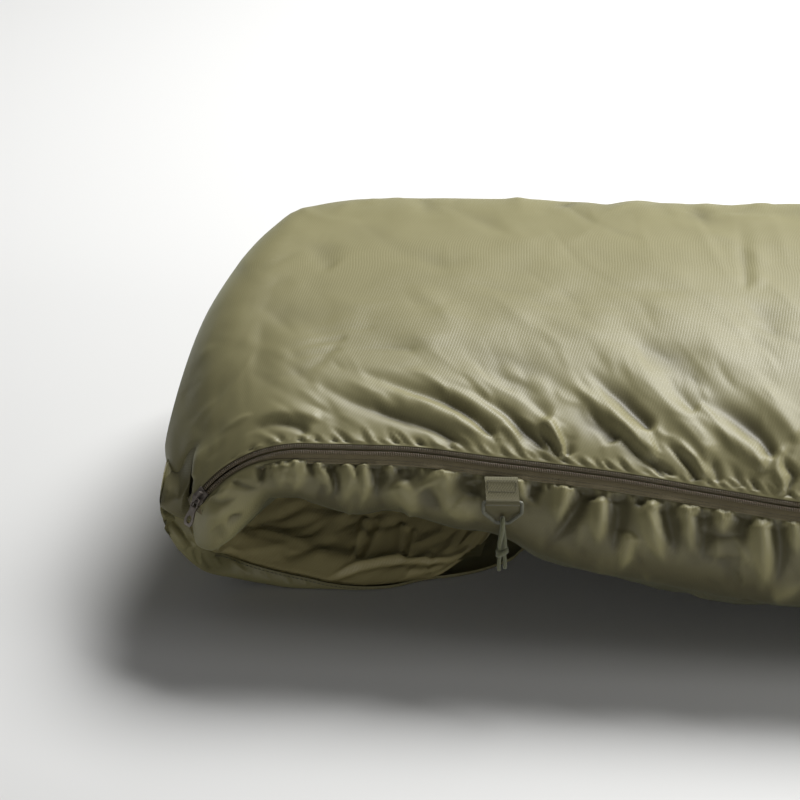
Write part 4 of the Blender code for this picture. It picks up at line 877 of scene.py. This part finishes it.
# the turned-in lip, bellied a little between the outline and its seam
lk = np.linspace(0, 1, 22)[None, :]
belly = np.sin(math.pi * lk)
lipg = lip[:, None, :] + (rim - lip)[:, None, :] * (1 - (1 - lk) ** 1.4)[..., None]
gap = np.linalg.norm(rim - lip, axis=1)[:, None]
lipg[..., 1] -= 0.16 * gap * belly
lipg[..., 2] = np.maximum(lipg[..., 2], 0.0013)
recede = (smooth(lip[:, 2], 0.075, 0.105) * 0.016)[:, None] * np.ones_like(lk)
lipg[..., 1] += recede
outer = np.concatenate([lipg[:, :-1], across], 1)
pc, py = chart(top + SHIFT).reshape(-1, 2), top[..., 1].reshape(-1)
front = ((top_n @ BACK).reshape(-1) > 0.05) & (pc[:, 0] < 270) & (pc[:, 1] > 370)
pc, py = pc[front][::3], py[front][::3]


def lie_behind(grid, rows, cols, gap, start, end):
    """Ease the head corner of a sheet back until it lies a gap behind the shell's own edge."""
    q = chart(grid + SHIFT)[:rows, :cols].reshape(-1, 2)
    tucked = 1 - smooth(q[:, 1], start, end)
    d2 = ((q[:, None, :] - pc[None, :, :]) ** 2).sum(-1)
    w = np.exp(-(d2 - d2.min(1, keepdims=True)) / 72.0)
    lie = (w * py).sum(1) / w.sum(1)
    held = 1 - smooth(np.sqrt(d2.min(1)), 50, 80)
    y = grid[:rows, :cols, 1].reshape(-1)
    step = np.maximum(lie + gap - y, 0) / -BACK[1] * tucked * held
    grid[:rows, :cols] -= (step[:, None] * BACK).reshape(q.reshape(rows, -1, 2).shape[0], -1, 3)


lie_behind(outer, 60, 40, 0.0055, 446, 512)

outer_in = np.array([X0 + 0.30, 0, 0.06])[None, None, :]
d = np.zeros(outer.shape[0] * outer.shape[1])
outer_uv = cloth_uv(outer)
flow = outer_uv.reshape(-1, 2) * 1000
HU = chart(outer + SHIFT).reshape(-1, 2)
for line, depth, below, above in [
    ([(231, 558), (240, 568), (252, 575)], 1.6, 3, 3), ([(262, 570), (270, 579)], -1.4, 2, 2), ([(284, 575), (290, 584)], -1.4, 2, 2),
    ([(304, 580), (308, 587)], -1.2, 2, 2), ([(244, 564), (248, 575)], -1.3, 1.8, 1.8), ([(214, 556), (220, 566)], -1.6, 2.0, 2.0),
    ([(172, 440), (168, 465), (166, 490), (166, 508)], 2.6, 5, 5), ([(178, 450), (175, 475), (174, 500)], -2.4, 3, 3),
    ([(162, 512), (172, 519), (183, 529), (194, 548)], -5.0, 3.0, 4.5), ([(166, 524), (176, 536), (186, 550)], 2.6, 5, 5),
    ([(195, 548), (197, 556), (199, 564)], -3.0, 2.0, 2.0), ([(202, 552), (206, 560), (212, 568)], 1.8, 3, 3),
]:
    fold(HU, d, line, depth * MM, below, above, fade=(0.1, 0.1), sharp=1.7)
wrinkles(flow, d, 41, 130, ((0, 20), (620, 420)), 15, 40, (30, 120), (4, 10), (0.0005, 0.0018))
outer_n = normals_of(outer, outer_in)
up_share = np.linspace(0, 1, outer.shape[0])[:, None]
col_share = np.linspace(0, 1, outer.shape[1])[None, :]
lift = d.reshape(outer.shape[:2]) * smooth(up_share, 0.01, 0.05) * (1 - smooth(up_share, 0.97, 1.0)) * smooth(col_share, 0.0, 0.02)
outer_f = outer + outer_n * lift[..., None]
outer_f[..., 2] = np.maximum(outer_f[..., 2], 0.0010)
# the shell's own tucked hem at the head corner hangs over where the hood starts
tuck_a = [(-0.8990, -0.2380, 0.1985), (-0.9085, -0.2640, 0.1850), (-0.9124, -0.2720, 0.1575), (-0.9150, -0.2720, 0.1400), (-0.9160, -0.2710, 0.1262)]
tuck_b = [(-0.8770, -0.2380, 0.1940), (-0.8845, -0.2600, 0.1800), (-0.8880, -0.2690, 0.1500), (-0.8885, -0.2700, 0.1290), (-0.8870, -0.2690, 0.1090)]
ta, tb = even_rows([tuck_a, tuck_b], 70)
tk = np.linspace(0, 1, 40)[None, :]
tg = tb[:, None, :] + (ta - tb)[:, None, :] * (1 - (1 - tk) ** 1.3)[..., None]
tg[..., 1] -= 0.0045 * np.sin(math.pi * tk) * np.ones((70, 1))
curl = smooth(np.linspace(0, 1, 70), 0.90, 1.0)[:, None] ** 2
tg[..., 1] += 0.010 * curl + 0 * tk
wrap_in = np.clip((tk - 0.94) / 0.06, 0, 1) ** 2
tg[..., 1] += 0.006 * wrap_in
td = np.zeros(tg.shape[0] * tg.shape[1])
TU = chart(tg + SHIFT).reshape(-1, 2)
for line, depth, below, above in [
    ([(173, 446), (169, 470), (167, 495)], 1.8, 4, 4), ([(181, 452), (178, 475), (178, 500)], -2.4, 2.4, 2.4),
    ([(186, 470), (184, 490), (182, 512)], 2.0, 3, 3), ([(163, 470), (162, 490), (161, 505)], -1.2, 2, 2),
]:
    fold(TU, td, line, depth * MM, below, above, fade=(0.15, 0.15), sharp=1.7)
tn = np.array([-0.25, -0.93, 0.25])
tg = tg + tn * td.reshape(tg.shape[:2])[..., None]
lie_behind(tg, 70, 40, 0.0020, 458, 512)
# painted shade: the tuck's colour is darkened, more towards its lower end and its inner edge
painted_shade_tuck = 0.30 + 0.35 * smooth(np.linspace(0, 1, 70), 0.2, 0.8)[:, None] + 0.15 * (1 - tk)
tuck = dress(grid_object("head_corner_tuck", tg + SHIFT, "bag", uv=cloth_uv(tg) + np.array([0.02, 0]), attrs={"crease": painted_shade_tuck * np.ones(tg.shape[:2])}), SHELL)
shell_hood = dress(grid_object("hood_shell", outer_f + SHIFT, "bag", uv=outer_uv), SHELL)
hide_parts("hood_outer")

# the lining inside, lying back from the seam in loose layers
inr, = even_rows([INNER], 230)
cols = 130
k = np.linspace(0, 1, cols)[None, :]
si = np.linspace(0, 1, 230)
far_y = through(si, [0, .25, .40, .6, .85, 1], [.240, .235, .215, .195, .175, .130])[:, None]
y = inr[:, 1:2] + (far_y - inr[:, 1:2]) * k ** 1.25
x = inr[:, 0:1] + SKEW * (y - inr[:, 1:2])
back = y - inr[:, 1:2]
puff = 0.012 * smooth(back, 0.0, 0.030) + 0.016 * smooth(back, 0.03, 0.12)
stand = smooth(inr[:, 2:3], 0.03, 0.07)
z = inr[:, 2:3] + puff * (1 - stand) * (1 - 0.6 * smooth(si, 0.72, 0.90))[:, None]
x = x + stand * 0.010 * smooth(back, 0, 0.02)
inner = np.stack([x, y, z], -1)

d = np.zeros(inner.shape[0] * inner.shape[1])
inner_uv = cloth_uv(inner)
flow = inner_uv.reshape(-1, 2) * 1000
HI = chart(inner + SHIFT).reshape(-1, 2)
for line, depth, below, above in [
    ([(366, 512), (360, 538), (352, 562)], 4.0, 3.0, 3.0), ([(375, 514), (366, 540), (356, 562)], -4.0, 3, 3), ([(384, 518), (374, 540), (364, 562)], 3.5, 3, 3),
    ([(402, 522), (400, 540), (398, 558)], 4.0, 3.0, 3.0), ([(408, 526), (406, 542), (403, 558)], -3.5, 3, 3), ([(414, 528), (412, 542), (409, 558)], 3.0, 3, 3),
    ([(326, 580), (345, 570), (362, 564), (398, 557), (410, 560), (450, 558), (478, 542)], 3.6, 2.4, 3.0),
    ([(322, 584), (345, 575), (364, 569), (398, 562), (450, 563)], -3.0, 3.0, 2.4),
    ([(280, 556), (310, 548), (340, 540)], -2.5, 5, 5), ([(250, 530), (290, 538), (330, 556)], 2.5, 6, 6),
    ([(404, 572), (424, 570), (446, 564)], 2.5, 3, 3), ([(434, 548), (430, 562), (426, 576)], -2.5, 3, 3),
    ([(226, 553), (250, 562), (279, 569.5), (307, 575.5), (331, 581), (362, 584)], -2.6, 1.6, 1.6),
]:
    fold(HI, d, line, depth * MM, below, above, fade=(0.15, 0.15), sharp=1.7)
wrinkles(flow, d, 42, 200, ((0, 0), (620, 260)), 40, 50, (25, 90), (4, 10), (0.0008, 0.0032))
inner_n = normals_of(inner, outer_in)
inner_n = np.where(inner_n[..., 2:3] < 0, -inner_n, inner_n)
lift = d.reshape(inner.shape[:2]) * smooth(np.linspace(0, 1, inner.shape[0])[:, None], 0.02, 0.06) * smooth(back * 1000, 0, 6)
inner_f = inner + inner_n * lift[..., None]
inner_f[..., 2] = np.maximum(inner_f[..., 2], 0.0045)
lining = dress(grid_object("hood_lining", inner_f + SHIFT, "bag", uv=inner_uv), LINING_PAINTED_LIGHT)
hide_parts("hood_inner")

# the stitched tunnel at the mouth's edge, on the inner layer
def tunnel_strip():
    cols, rows = 110, 15
    share = np.linspace(0, 1, rows)
    k = np.linspace(0, 1, cols)
    span = np.linspace(0.268, 0.300, rows)
    hs = through(span, [0.225, 0.268, 0.300, 0.348], [0.70, 0.80, 0.90, 1.0])
    y0 = through(hs, [0, .12, .25, .40, .6, .85, 1], [-.190, -.235, -.225, -.200, -.180, -.155, -.110]) + 0.012
    y1 = through(hs, [0, .12, .25, .40, .6, .85, 1], [.190, .235, .225, .205, .185, .170, .130]) - 0.010
    y = y0[:, None] + (y1 - y0)[:, None] * k[None, :]
    x = X0 + SKEW * (y + SKEW_Y) + span[:, None]
    crown = 0.0024 * np.sin(math.pi * np.clip(share, 0, 1)) ** 0.6
    pucker = 0.0005 * np.sin(k * 240) + 0.0004 * noise2(k * 60, k * 0, 51)
    z = 0.0078 + crown[:, None] * (1 + 0.0 * y) + pucker[None, :] * np.sin(math.pi * share)[:, None]
    return np.stack([x, y, z], -1)


tun = tunnel_strip()
tunnel = dress(grid_object("mouth_hem", tun + SHIFT, "bag", uv=cloth_uv(tun)), SHELL)
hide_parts("mouth_hem_tunnel")

# ------------------------------------------------------------------ the filling inside: a quilted sleeping bag
fill_s = np.linspace(0.100, 1.780, 240)
fill_t = np.linspace(-math.pi, math.pi, 161)[:-1]
core = loft(fill_s[:, None], fill_t[None, :], 0.023)
mid = core.mean(1, keepdims=True)
close = np.minimum(smooth(fill_s, 0.100, 0.150), 1 - smooth(fill_s, 1.730, 1.780))[:, None, None]
core = mid + (core - mid) * (0.02 + 0.98 * np.sqrt(np.maximum(close, 0)))
quilt = np.abs(np.sin((fill_s - 0.1) * math.pi / 0.14))[:, None] ** 0.5
core = core - (core - mid) / np.maximum(np.linalg.norm(core - mid, axis=-1, keepdims=True), 1e-9) * (0.008 * (1 - quilt))[..., None]
core[..., 2] = np.maximum(core[..., 2], 0.006)
filling = dress(grid_object("sleeping_bag", core + SHIFT, "bag", uv=cloth_uv(core), wrap=True), LINING_PAINTED_LIGHT)
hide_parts("sleeping_bag_filling")


# ------------------------------------------------------------------ the zip
def sweep_grid(rows, outline, closed=False):
    pts = np.array([[c + cross * p + face * q for p, q in outline] for _, _, c, run, cross, face in rows])
    return pts


def band(name, rows, p0, p1, t, mat, node_name, cols=9, wave=0.0, seed=1, hidden=False):
    """A woven tape: p0 to p1 across, its outer part sunk back, a slight wave where the stitching draws it up."""
    ps = np.linspace(p0, p1, cols)
    dist = np.array([r[0] for r in rows])
    top_side, low_side = [], []
    for r, di in zip(rows, dist):
        _, _, c, run, cross, face = r
        w = wave * (noise2(np.array([di * 60.0]), np.array([seed * 3.1]), seed)[0] + 0.6 * noise2(np.array([di * 170.0]), np.array([seed * 1.7]), seed + 1)[0])
        k = np.abs((ps - p0) / (p1 - p0)) if abs(p0) < abs(p1) else np.abs((ps - p1) / (p0 - p1))
        under = 1.0 if hidden else 0.8 * (1 - float(smooth(c[0], -0.835, -0.755)))
        sink = -0.0042 * under * smooth(np.abs(ps), 0.0052, TAPE_OUT)
        top_side.append([c + cross * p + face * (t / 2 + w * kk ** 1.5 + g) for p, kk, g in zip(ps, k, sink)])
        low_side.append([c + cross * p + face * (-t / 2 + w * kk ** 1.5 + g) for p, kk, g in zip(ps[::-1], k[::-1], sink[::-1])])
    pts = np.concatenate([np.array(top_side), np.array(low_side)], 1)
    uv = np.stack([np.broadcast_to(dist[:, None], pts.shape[:2]), np.broadcast_to(np.concatenate([ps, ps[::-1]])[None, :], pts.shape[:2])], -1)
    obj = dress(grid_object(name, pts, "bag", uv=uv, wrap=True), mat)
    if node_name:
        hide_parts(node_name)
    return obj


fine = zip_path(ARC_END, ZIP_FOOT_X, 0.0022)
band("tape_upper", fine, TAPE_IN, TAPE_OUT, TAPE_T, TAPE, "zip_tape_upper", wave=0.0, seed=3, hidden=True)
band("tape_lower", fine, -TAPE_OUT, -TAPE_IN, TAPE_T, TAPE, "zip_tape_lower", wave=0.0009, seed=5)

# the coil: one nylon filament wound along each tape, its turns' heads side by side in the middle
PITCH = 0.0021
chain = zip_path(SLIDER_AT + 0.005, ZIP_FOOT_X - 0.012, 0.0020)
chain_d = np.array([r[0] for r in chain])
chain_m = np.array([[r[2], r[3], r[4], r[5]] for r in chain])


def coil(name, side, phase, node_name):
    turns = int((chain_d[-1] - 0.002) / PITCH)
    per = 12
    k = np.arange(turns * per + 1) / per
    a = k * 2 * math.pi
    along = k * PITCH + phase * PITCH
    # the loop, flattened; it leaves room for the slider's web in the middle and its lips outside
    p = 0.00254 - 0.00141 * np.cos(a)
    q = 0.00165 + 0.00105 * np.sin(a)
    lean = 0.25 * PITCH * np.sin(a)
    at = np.clip(along, 0, chain_d[-1])
    cs = [np.stack([np.interp(at, chain_d, chain_m[:, j, i]) for i in range(3)], -1) for j in range(4)]
    line = cs[0] + cs[1] * lean[:, None] + cs[2] * (side * p)[:, None] + cs[3] * q[:, None]
    tan = np.gradient(line, axis=0)
    tan /= np.linalg.norm(tan, axis=1, keepdims=True)
    n1 = np.cross(tan, cs[1]); n1 /= np.maximum(np.linalg.norm(n1, axis=1, keepdims=True), 1e-9)
    n2 = np.cross(tan, n1)
    r = 0.00055
    ring = [(math.cos(b), math.sin(b)) for b in np.linspace(0, 2 * math.pi, 6)[:-1]]
    pts = np.stack([line + r * (n1 * c0 + n2 * s0) for c0, s0 in ring], 1)
    obj = dress(grid_object(name, pts, "bag", uv=np.zeros(pts.shape[:2] + (2,)), wrap=True), COIL)
    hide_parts(node_name)
    return obj


coil("coil_upper", 1, 0.0, "zip_coil_upper")
coil("coil_lower", -1, 0.5, "zip_coil_lower")

# the draft flap behind the chain
flap_rows = zip_path(math.radians(33), ZIP_FOOT_X - 0.01, 0.006)
pts = sweep_grid(flap_rows, [(p, q) for p, q in ((-0.0085, -0.0034), (-0.004, -0.0031), (0.0, -0.0034), (0.004, -0.0031), (0.0085, -0.0034), (0.0085, -0.0050), (0.0, -0.0050), (-0.0085, -0.0050))])
flap = dress(grid_object("draft_flap", pts, "bag", uv=cloth_uv(pts), wrap=True), LINING_PAINTED_LIGHT)
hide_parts("zip_draft_flap")

# metal left as the part has it, with its finish
for name in ("zip_slider", "zip_pull", "zip_top_stop_upper", "zip_top_stop_lower", "zip_bottom_stop"):
    ob = bpy.data.objects.get(name)
    if ob:
        dress(ob, METAL)


# ------------------------------------------------------------------ small shapes: tubes and stitches
def tube(line, radius, sides=10, caps=True):
    """Points of a tube round a line; radius may be a list."""
    line = np.array(line, float)
    tan = np.gradient(line, axis=0)
    tan /= np.maximum(np.linalg.norm(tan, axis=1, keepdims=True), 1e-12)
    ref = np.array([0.0, 0, 1]) if abs(tan[0][2]) < 0.9 else np.array([1.0, 0, 0])
    n = np.cross(tan[0], ref)
    rows = []
    rad = np.broadcast_to(np.asarray(radius, float), (len(line),))
    for p, t, r in zip(line, tan, rad):
        n = n - t * (n @ t)
        n /= np.linalg.norm(n)
        b = np.cross(t, n)
        rows.append([p + r * (n * math.cos(a) + b * math.sin(a)) for a in np.linspace(0, 2 * math.pi, sides, endpoint=False)])
    rows = np.array(rows)
    if caps:
        rows = np.concatenate([np.repeat(line[:1, None], sides, 1) + (rows[:1] - line[:1, None]) * 0.02, rows, np.repeat(line[-1:, None], sides, 1) + (rows[-1:] - line[-1:, None]) * 0.02])
    return rows


def merged(name, grids, body, mat, wrap=True):
    verts, quads, uvs, base = [], [], [], 0
    for g in grids:
        r, c = g.shape[:2]
        idx = base + np.arange(r * c).reshape(r, c)
        nxt = np.roll(idx, -1, 1) if wrap else idx[:, 1:]
        cur = idx if wrap else idx[:, :-1]
        quads.append(np.stack([cur[:-1], nxt[:-1], nxt[1:], cur[1:]], -1).reshape(-1, 4))
        verts.append(g.reshape(-1, 3))
        uvs.append(cloth_uv(g).reshape(-1, 2))
        base += r * c
    obj = raw_object(name, np.concatenate(verts), np.concatenate(quads), body, np.concatenate(uvs))
    return dress(obj, mat)


def stitch_row(points, normals, length, gap, radius, rise=0.0004, sides=5):
    """Thread stitches along a line on a surface: short arched stitches, sunk at both ends."""
    points, normals = np.asarray(points, float), np.asarray(normals, float)
    dist = np.concatenate([[0], np.cumsum(np.linalg.norm(np.diff(points, axis=0), axis=1))])
    out = []
    pos = gap
    while pos + length < dist[-1]:
        at = np.linspace(pos, pos + length, 5)
        p = np.stack([np.interp(at, dist, points[:, i]) for i in range(3)], -1)
        n = np.stack([np.interp(at, dist, normals[:, i]) for i in range(3)], -1)
        n /= np.linalg.norm(n, axis=1, keepdims=True)
        h = np.array([-0.2, 0.8, 1.0, 0.8, -0.2]) * rise
        out.append(tube(p + n * h[:, None], [radius * 0.7, radius, radius, radius, radius * 0.7], sides, caps=False))
        pos += length + gap
    return out


# two rows of lockstitch on the lower tape and one on the upper
st = zip_path(ARC_END - 0.03, ZIP_FOOT_X - 0.005, 0.002)
lines = []
for off in (-0.0114, -0.0088):
    pts = np.array([r[2] + r[4] * off + r[5] * (TAPE_T / 2) for r in st])
    lines += stitch_row(pts, np.array([r[5] for r in st]), 0.0024, 0.0007, 0.00020)
for off in (0.0086,):
    pts = np.array([r[2] + r[4] * off + r[5] * (TAPE_T / 2) for r in st])
    lines += stitch_row(pts, np.array([r[5] for r in st]), 0.0024, 0.0007, 0.00020)
stitches = merged("zip_stitching", lines, "bag", THREAD)


# the hood's seam, lockstitched a little outside its fold
seam = lip[(lip[:, 0] > -0.872)][:150] + SHIFT + np.array([0, -0.0030, -0.0012])
seam_n = np.repeat(np.array([[0.0, -0.75, 0.66]]), len(seam), 0)
hood_stitches = merged("hood_stitching", stitch_row(seam, seam_n, 0.0030, 0.0012, 0.00032, rise=0.0010), "bag", THREAD)

# ------------------------------------------------------------------ anchor points
ANCHOR = {
    "head_near": ((-.60028, -.31579, .19069), (-.5985, -.3336, .17461), -1),
    "foot_near": ((.30072, -.36466, .14618), (.3, -.3674, .12234), -1),
    "head_far": ((-.5985, .29832, .1982), (-.5985, .31546, .18139), 1),
    "foot_far": ((.3, .31573, .17289), (.3, .33375, .15703), 1),
}
for name, (start, bar, side) in ANCHOR.items():
    start, bar = np.array(start) + SHIFT, np.array(bar) + SHIFT
    e = np.array([1.0, 0, 0])
    d = bar - start
    length = np.linalg.norm(d)
    d /= length
    m = np.cross(e, d)
    if m[1] * side < 0:
        m = -m
    # webbing: down the front from the seam, round the bar, and up behind itself
    half = WEB_W / 2 - 0.0004
    cols = 25
    us = np.linspace(-half, half, cols)
    prof = []
    r_out = 0.0035
    front = [(0.0, 0.0013), (length * 0.25, 0.0014), (length * 0.5, 0.0017), (length * 0.75, 0.0026)]
    turn = [(length + r_out * math.sin(a), r_out * math.cos(a)) for a in np.linspace(-0.5, math.pi + 0.5, 17)]
    back = [(length * 0.75, -0.0026), (length * 0.5, -0.0017), (length * 0.25, -0.0014), (0.0, -0.0013)]
    prof = front + turn + back
    # the inner face of the loop, round the bar
    inside = [(0.0, -0.0001), (length * 0.5, -0.0001), (length * 0.72, -0.0006)] + [(length + 0.0023 * math.sin(a), 0.0023 * math.cos(a)) for a in np.linspace(math.pi + 0.7, -0.7, 15)] + [(length * 0.72, 0.0006), (length * 0.5, 0.0001), (0.0, 0.0001)]
    loop = prof + inside
    grid = np.array([[start + e * u + d * p + m * q for p, q in loop] for u in us])
    # cut ends closed at both selvedges, onto the middle of the band's thickness
    core_line = np.array([d * p + m * q for p, q in prof])
    near_core = np.array([core_line[np.argmin(((core_line - (d * p + m * q)) ** 2).sum(1))] for p, q in loop])
    shut = [(start + e * (u + np.sign(u) * 0.0004) + near_core)[None] for u in (us[0], us[-1])]
    grid = np.concatenate([shut[0], grid, shut[1]], 0)
    us = np.concatenate([[us[0] - 0.0004], us, [us[-1] + 0.0004]])
    # a crown for the selvedges is worked out, but the band is not shaped by it
    crown = 1 - 0.35 * np.clip((np.abs(us) - half * 0.90) / (half * 0.10), 0, 1) ** 2
    mid_ = grid.mean(1, keepdims=True)
    uv = np.stack([np.broadcast_to(us[:, None], grid.shape[:2]), np.broadcast_to(np.linspace(0, 0.1, len(loop))[None, :], grid.shape[:2])], -1)
    web = dress(grid_object(name + "_webbing", grid, "bag", uv=uv, wrap=True), WEBBING)
    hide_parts(name + "_tab")
    rows = []
    for row_at in (0.0040, length * 0.62):
        p = np.array([start + e * u + d * row_at + m * (0.00165 if row_at < 0.01 else 0.0022) for u in np.linspace(-half * 0.9, half * 0.9, 40)])
        rows += stitch_row(p, np.repeat(m[None], 40, 0), 0.0022, 0.0006, 0.00022)
    for u in (-half * 0.88, half * 0.88):
        p = np.array([start + e * u + d * k + m * (0.00155 + 0.0007 * smooth(k, length * 0.3, length * 0.62)) for k in np.linspace(0.0040, length * 0.62, 20)])
        rows += stitch_row(p, np.repeat(m[None], 20, 0), 0.0022, 0.0006, 0.00022)
    merged(name + "_tab_stitching", rows, "bag", THREAD)

    # the ring keeps the part's shape
    dress(bpy.data.objects[name + "_ring"], RING)

    # the tie cord: a limp braided loop over the ring's lower bar, and its knot
    low = bar + np.array([0, 0, -0.0210])
    r = 0.00405
    pts = []
    for k in range(9):
        f = k / 8
        b = f * f * (3 - 2 * f)
        pts.append(np.array([-0.0023 * (1 - b), side * r * b, -0.0245 * (1 - f)]))
    arc = [np.array([0.0, side * r * math.cos(a), r * math.sin(a)]) for a in np.linspace(0, math.pi, 9)[1:-1]]
    behind = [np.array([-p[0], -p[1], p[2]]) for p in reversed(pts)]
    route = [low + p for p in pts + arc + behind]
    dense = curve_points(route, 3)
    rad = np.full(len(dense), CORD_R * 1.16)
    cg = tube(dense, rad, 14)
    # the braid's strands stand a little proud
    phase = np.arange(cg.shape[0])[:, None] * 0.9
    around = np.arange(cg.shape[1])[None, :] * 2 * math.pi / cg.shape[1]
    knit = 0.00009 * (np.sin(around * 4 + phase) + np.sin(around * 4 - phase))
    centre = cg.mean(1, keepdims=True)
    cg = cg + (cg - centre) / CORD_R * knit[..., None]
    cord = dress(grid_object(name + "_cord_loop", cg, name + "_cord", uv=cloth_uv(cg), wrap=True), CORD)
    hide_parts(name + "_tie_cord")

    # the knot: two strand turns crossing over each other, and two tails
    kc = low + np.array([0, 0, -0.0297])
    strands = []
    a = np.linspace(0, 2 * math.pi, 40)
    wrap1 = np.stack([0.0037 * np.cos(a), 0.0021 * np.sin(a), 0.0020 * np.sin(a + 0.6) + 0.0016], -1)
    wrap2 = np.stack([0.0037 * np.cos(a + 1.2), 0.0021 * np.sin(a + 1.2), -0.0020 * np.sin(a) - 0.0016], -1)
    knot_grids = [tube(kc + wrap1, 0.0023, 12, caps=False), tube(kc + wrap2, 0.0023, 12, caps=False)]
    for sx, ln, fwd_y in ((-1, 0.0175, -1), (1, 0.0150, 1)):
        k = np.linspace(0, 1, 12)
        tail = np.stack([sx * (0.0016 + 0.0009 * k + 0.0006 * np.sin(k * 3)), fwd_y * 0.0004 * np.sin(k * 4), -0.002 - ln * k], -1)
        knot_grids.append(tube(kc + tail, np.concatenate([np.full(11, 0.00185), [0.0016]]), 12))
    for sx in (-1, 1):
        k = np.linspace(0, 1, 5)
        up = np.stack([sx * (0.0016 + 0.0007 * k), 0 * k, 0.0005 + 0.005 * k], -1)
        knot_grids.append(tube(kc + up, 0.00185, 12))
    knot = merged(name + "_knot", knot_grids, name + "_cord", CORD)
    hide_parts(name + "_tie_knot")

# ------------------------------------------------------------------ floor, backdrop and lights
bm = bmesh.new()
arc_pts = [(y, 0.0) for y in np.linspace(-8, 8, 9)]
cols = [[bm.verts.new((x, y, z - 0.0002)) for y, z in arc_pts] for x in np.linspace(-8, 8, 9)]
for a, b in zip(cols[:-1], cols[1:]):
    for i in range(len(arc_pts) - 1):
        bm.faces.new((a[i], b[i], b[i + 1], a[i + 1]))
mesh = bpy.data.meshes.new("studio_floor")
bm.to_mesh(mesh)
bm.free()
mesh.shade_smooth()
studio = link(bpy.data.objects.new("studio_floor", mesh))
mat, nt, shader = new_material("studio_floor")
shader.inputs["Base Color"].default_value = (0.66, 0.66, 0.65, 1)
shader.inputs["Roughness"].default_value = 0.9
dress(studio, mat)


def area_light(name, place, aim, size, power, colour=(1, 1, 1), size_y=None):
    data = bpy.data.lights.new(name, "AREA")
    data.energy = power
    data.color = colour
    data.size = size
    if size_y:
        data.shape = "RECTANGLE"
        data.size_y = size_y
    obj = link(bpy.data.objects.new(name, data))
    obj.location = place
    obj.rotation_euler = (Vector(aim) - Vector(place)).to_track_quat("-Z", "Y").to_euler()
    return obj


area_light("overhead", (0.5, 1.5, 2.7), (-0.4, 0.0, 0.1), 1.8, 178, size_y=1.6)
area_light("right_side", (2.0, -0.75, 0.85), (-0.4, -0.2, 0.12), 0.6, 26)
area_light("front_low", (-0.3, -3.2, 0.45), (-0.6, 0.0, 0.04), 0.9, 15)
world = C.scene.world or bpy.data.worlds.new("world")
C.scene.world = world
world.use_nodes = True
bg = world.node_tree.nodes.get("Background")
bg.inputs[0].default_value = (1, 1, 1, 1)
bg.inputs[1].default_value = 0.08
C.scene.view_settings.view_transform = "Standard"
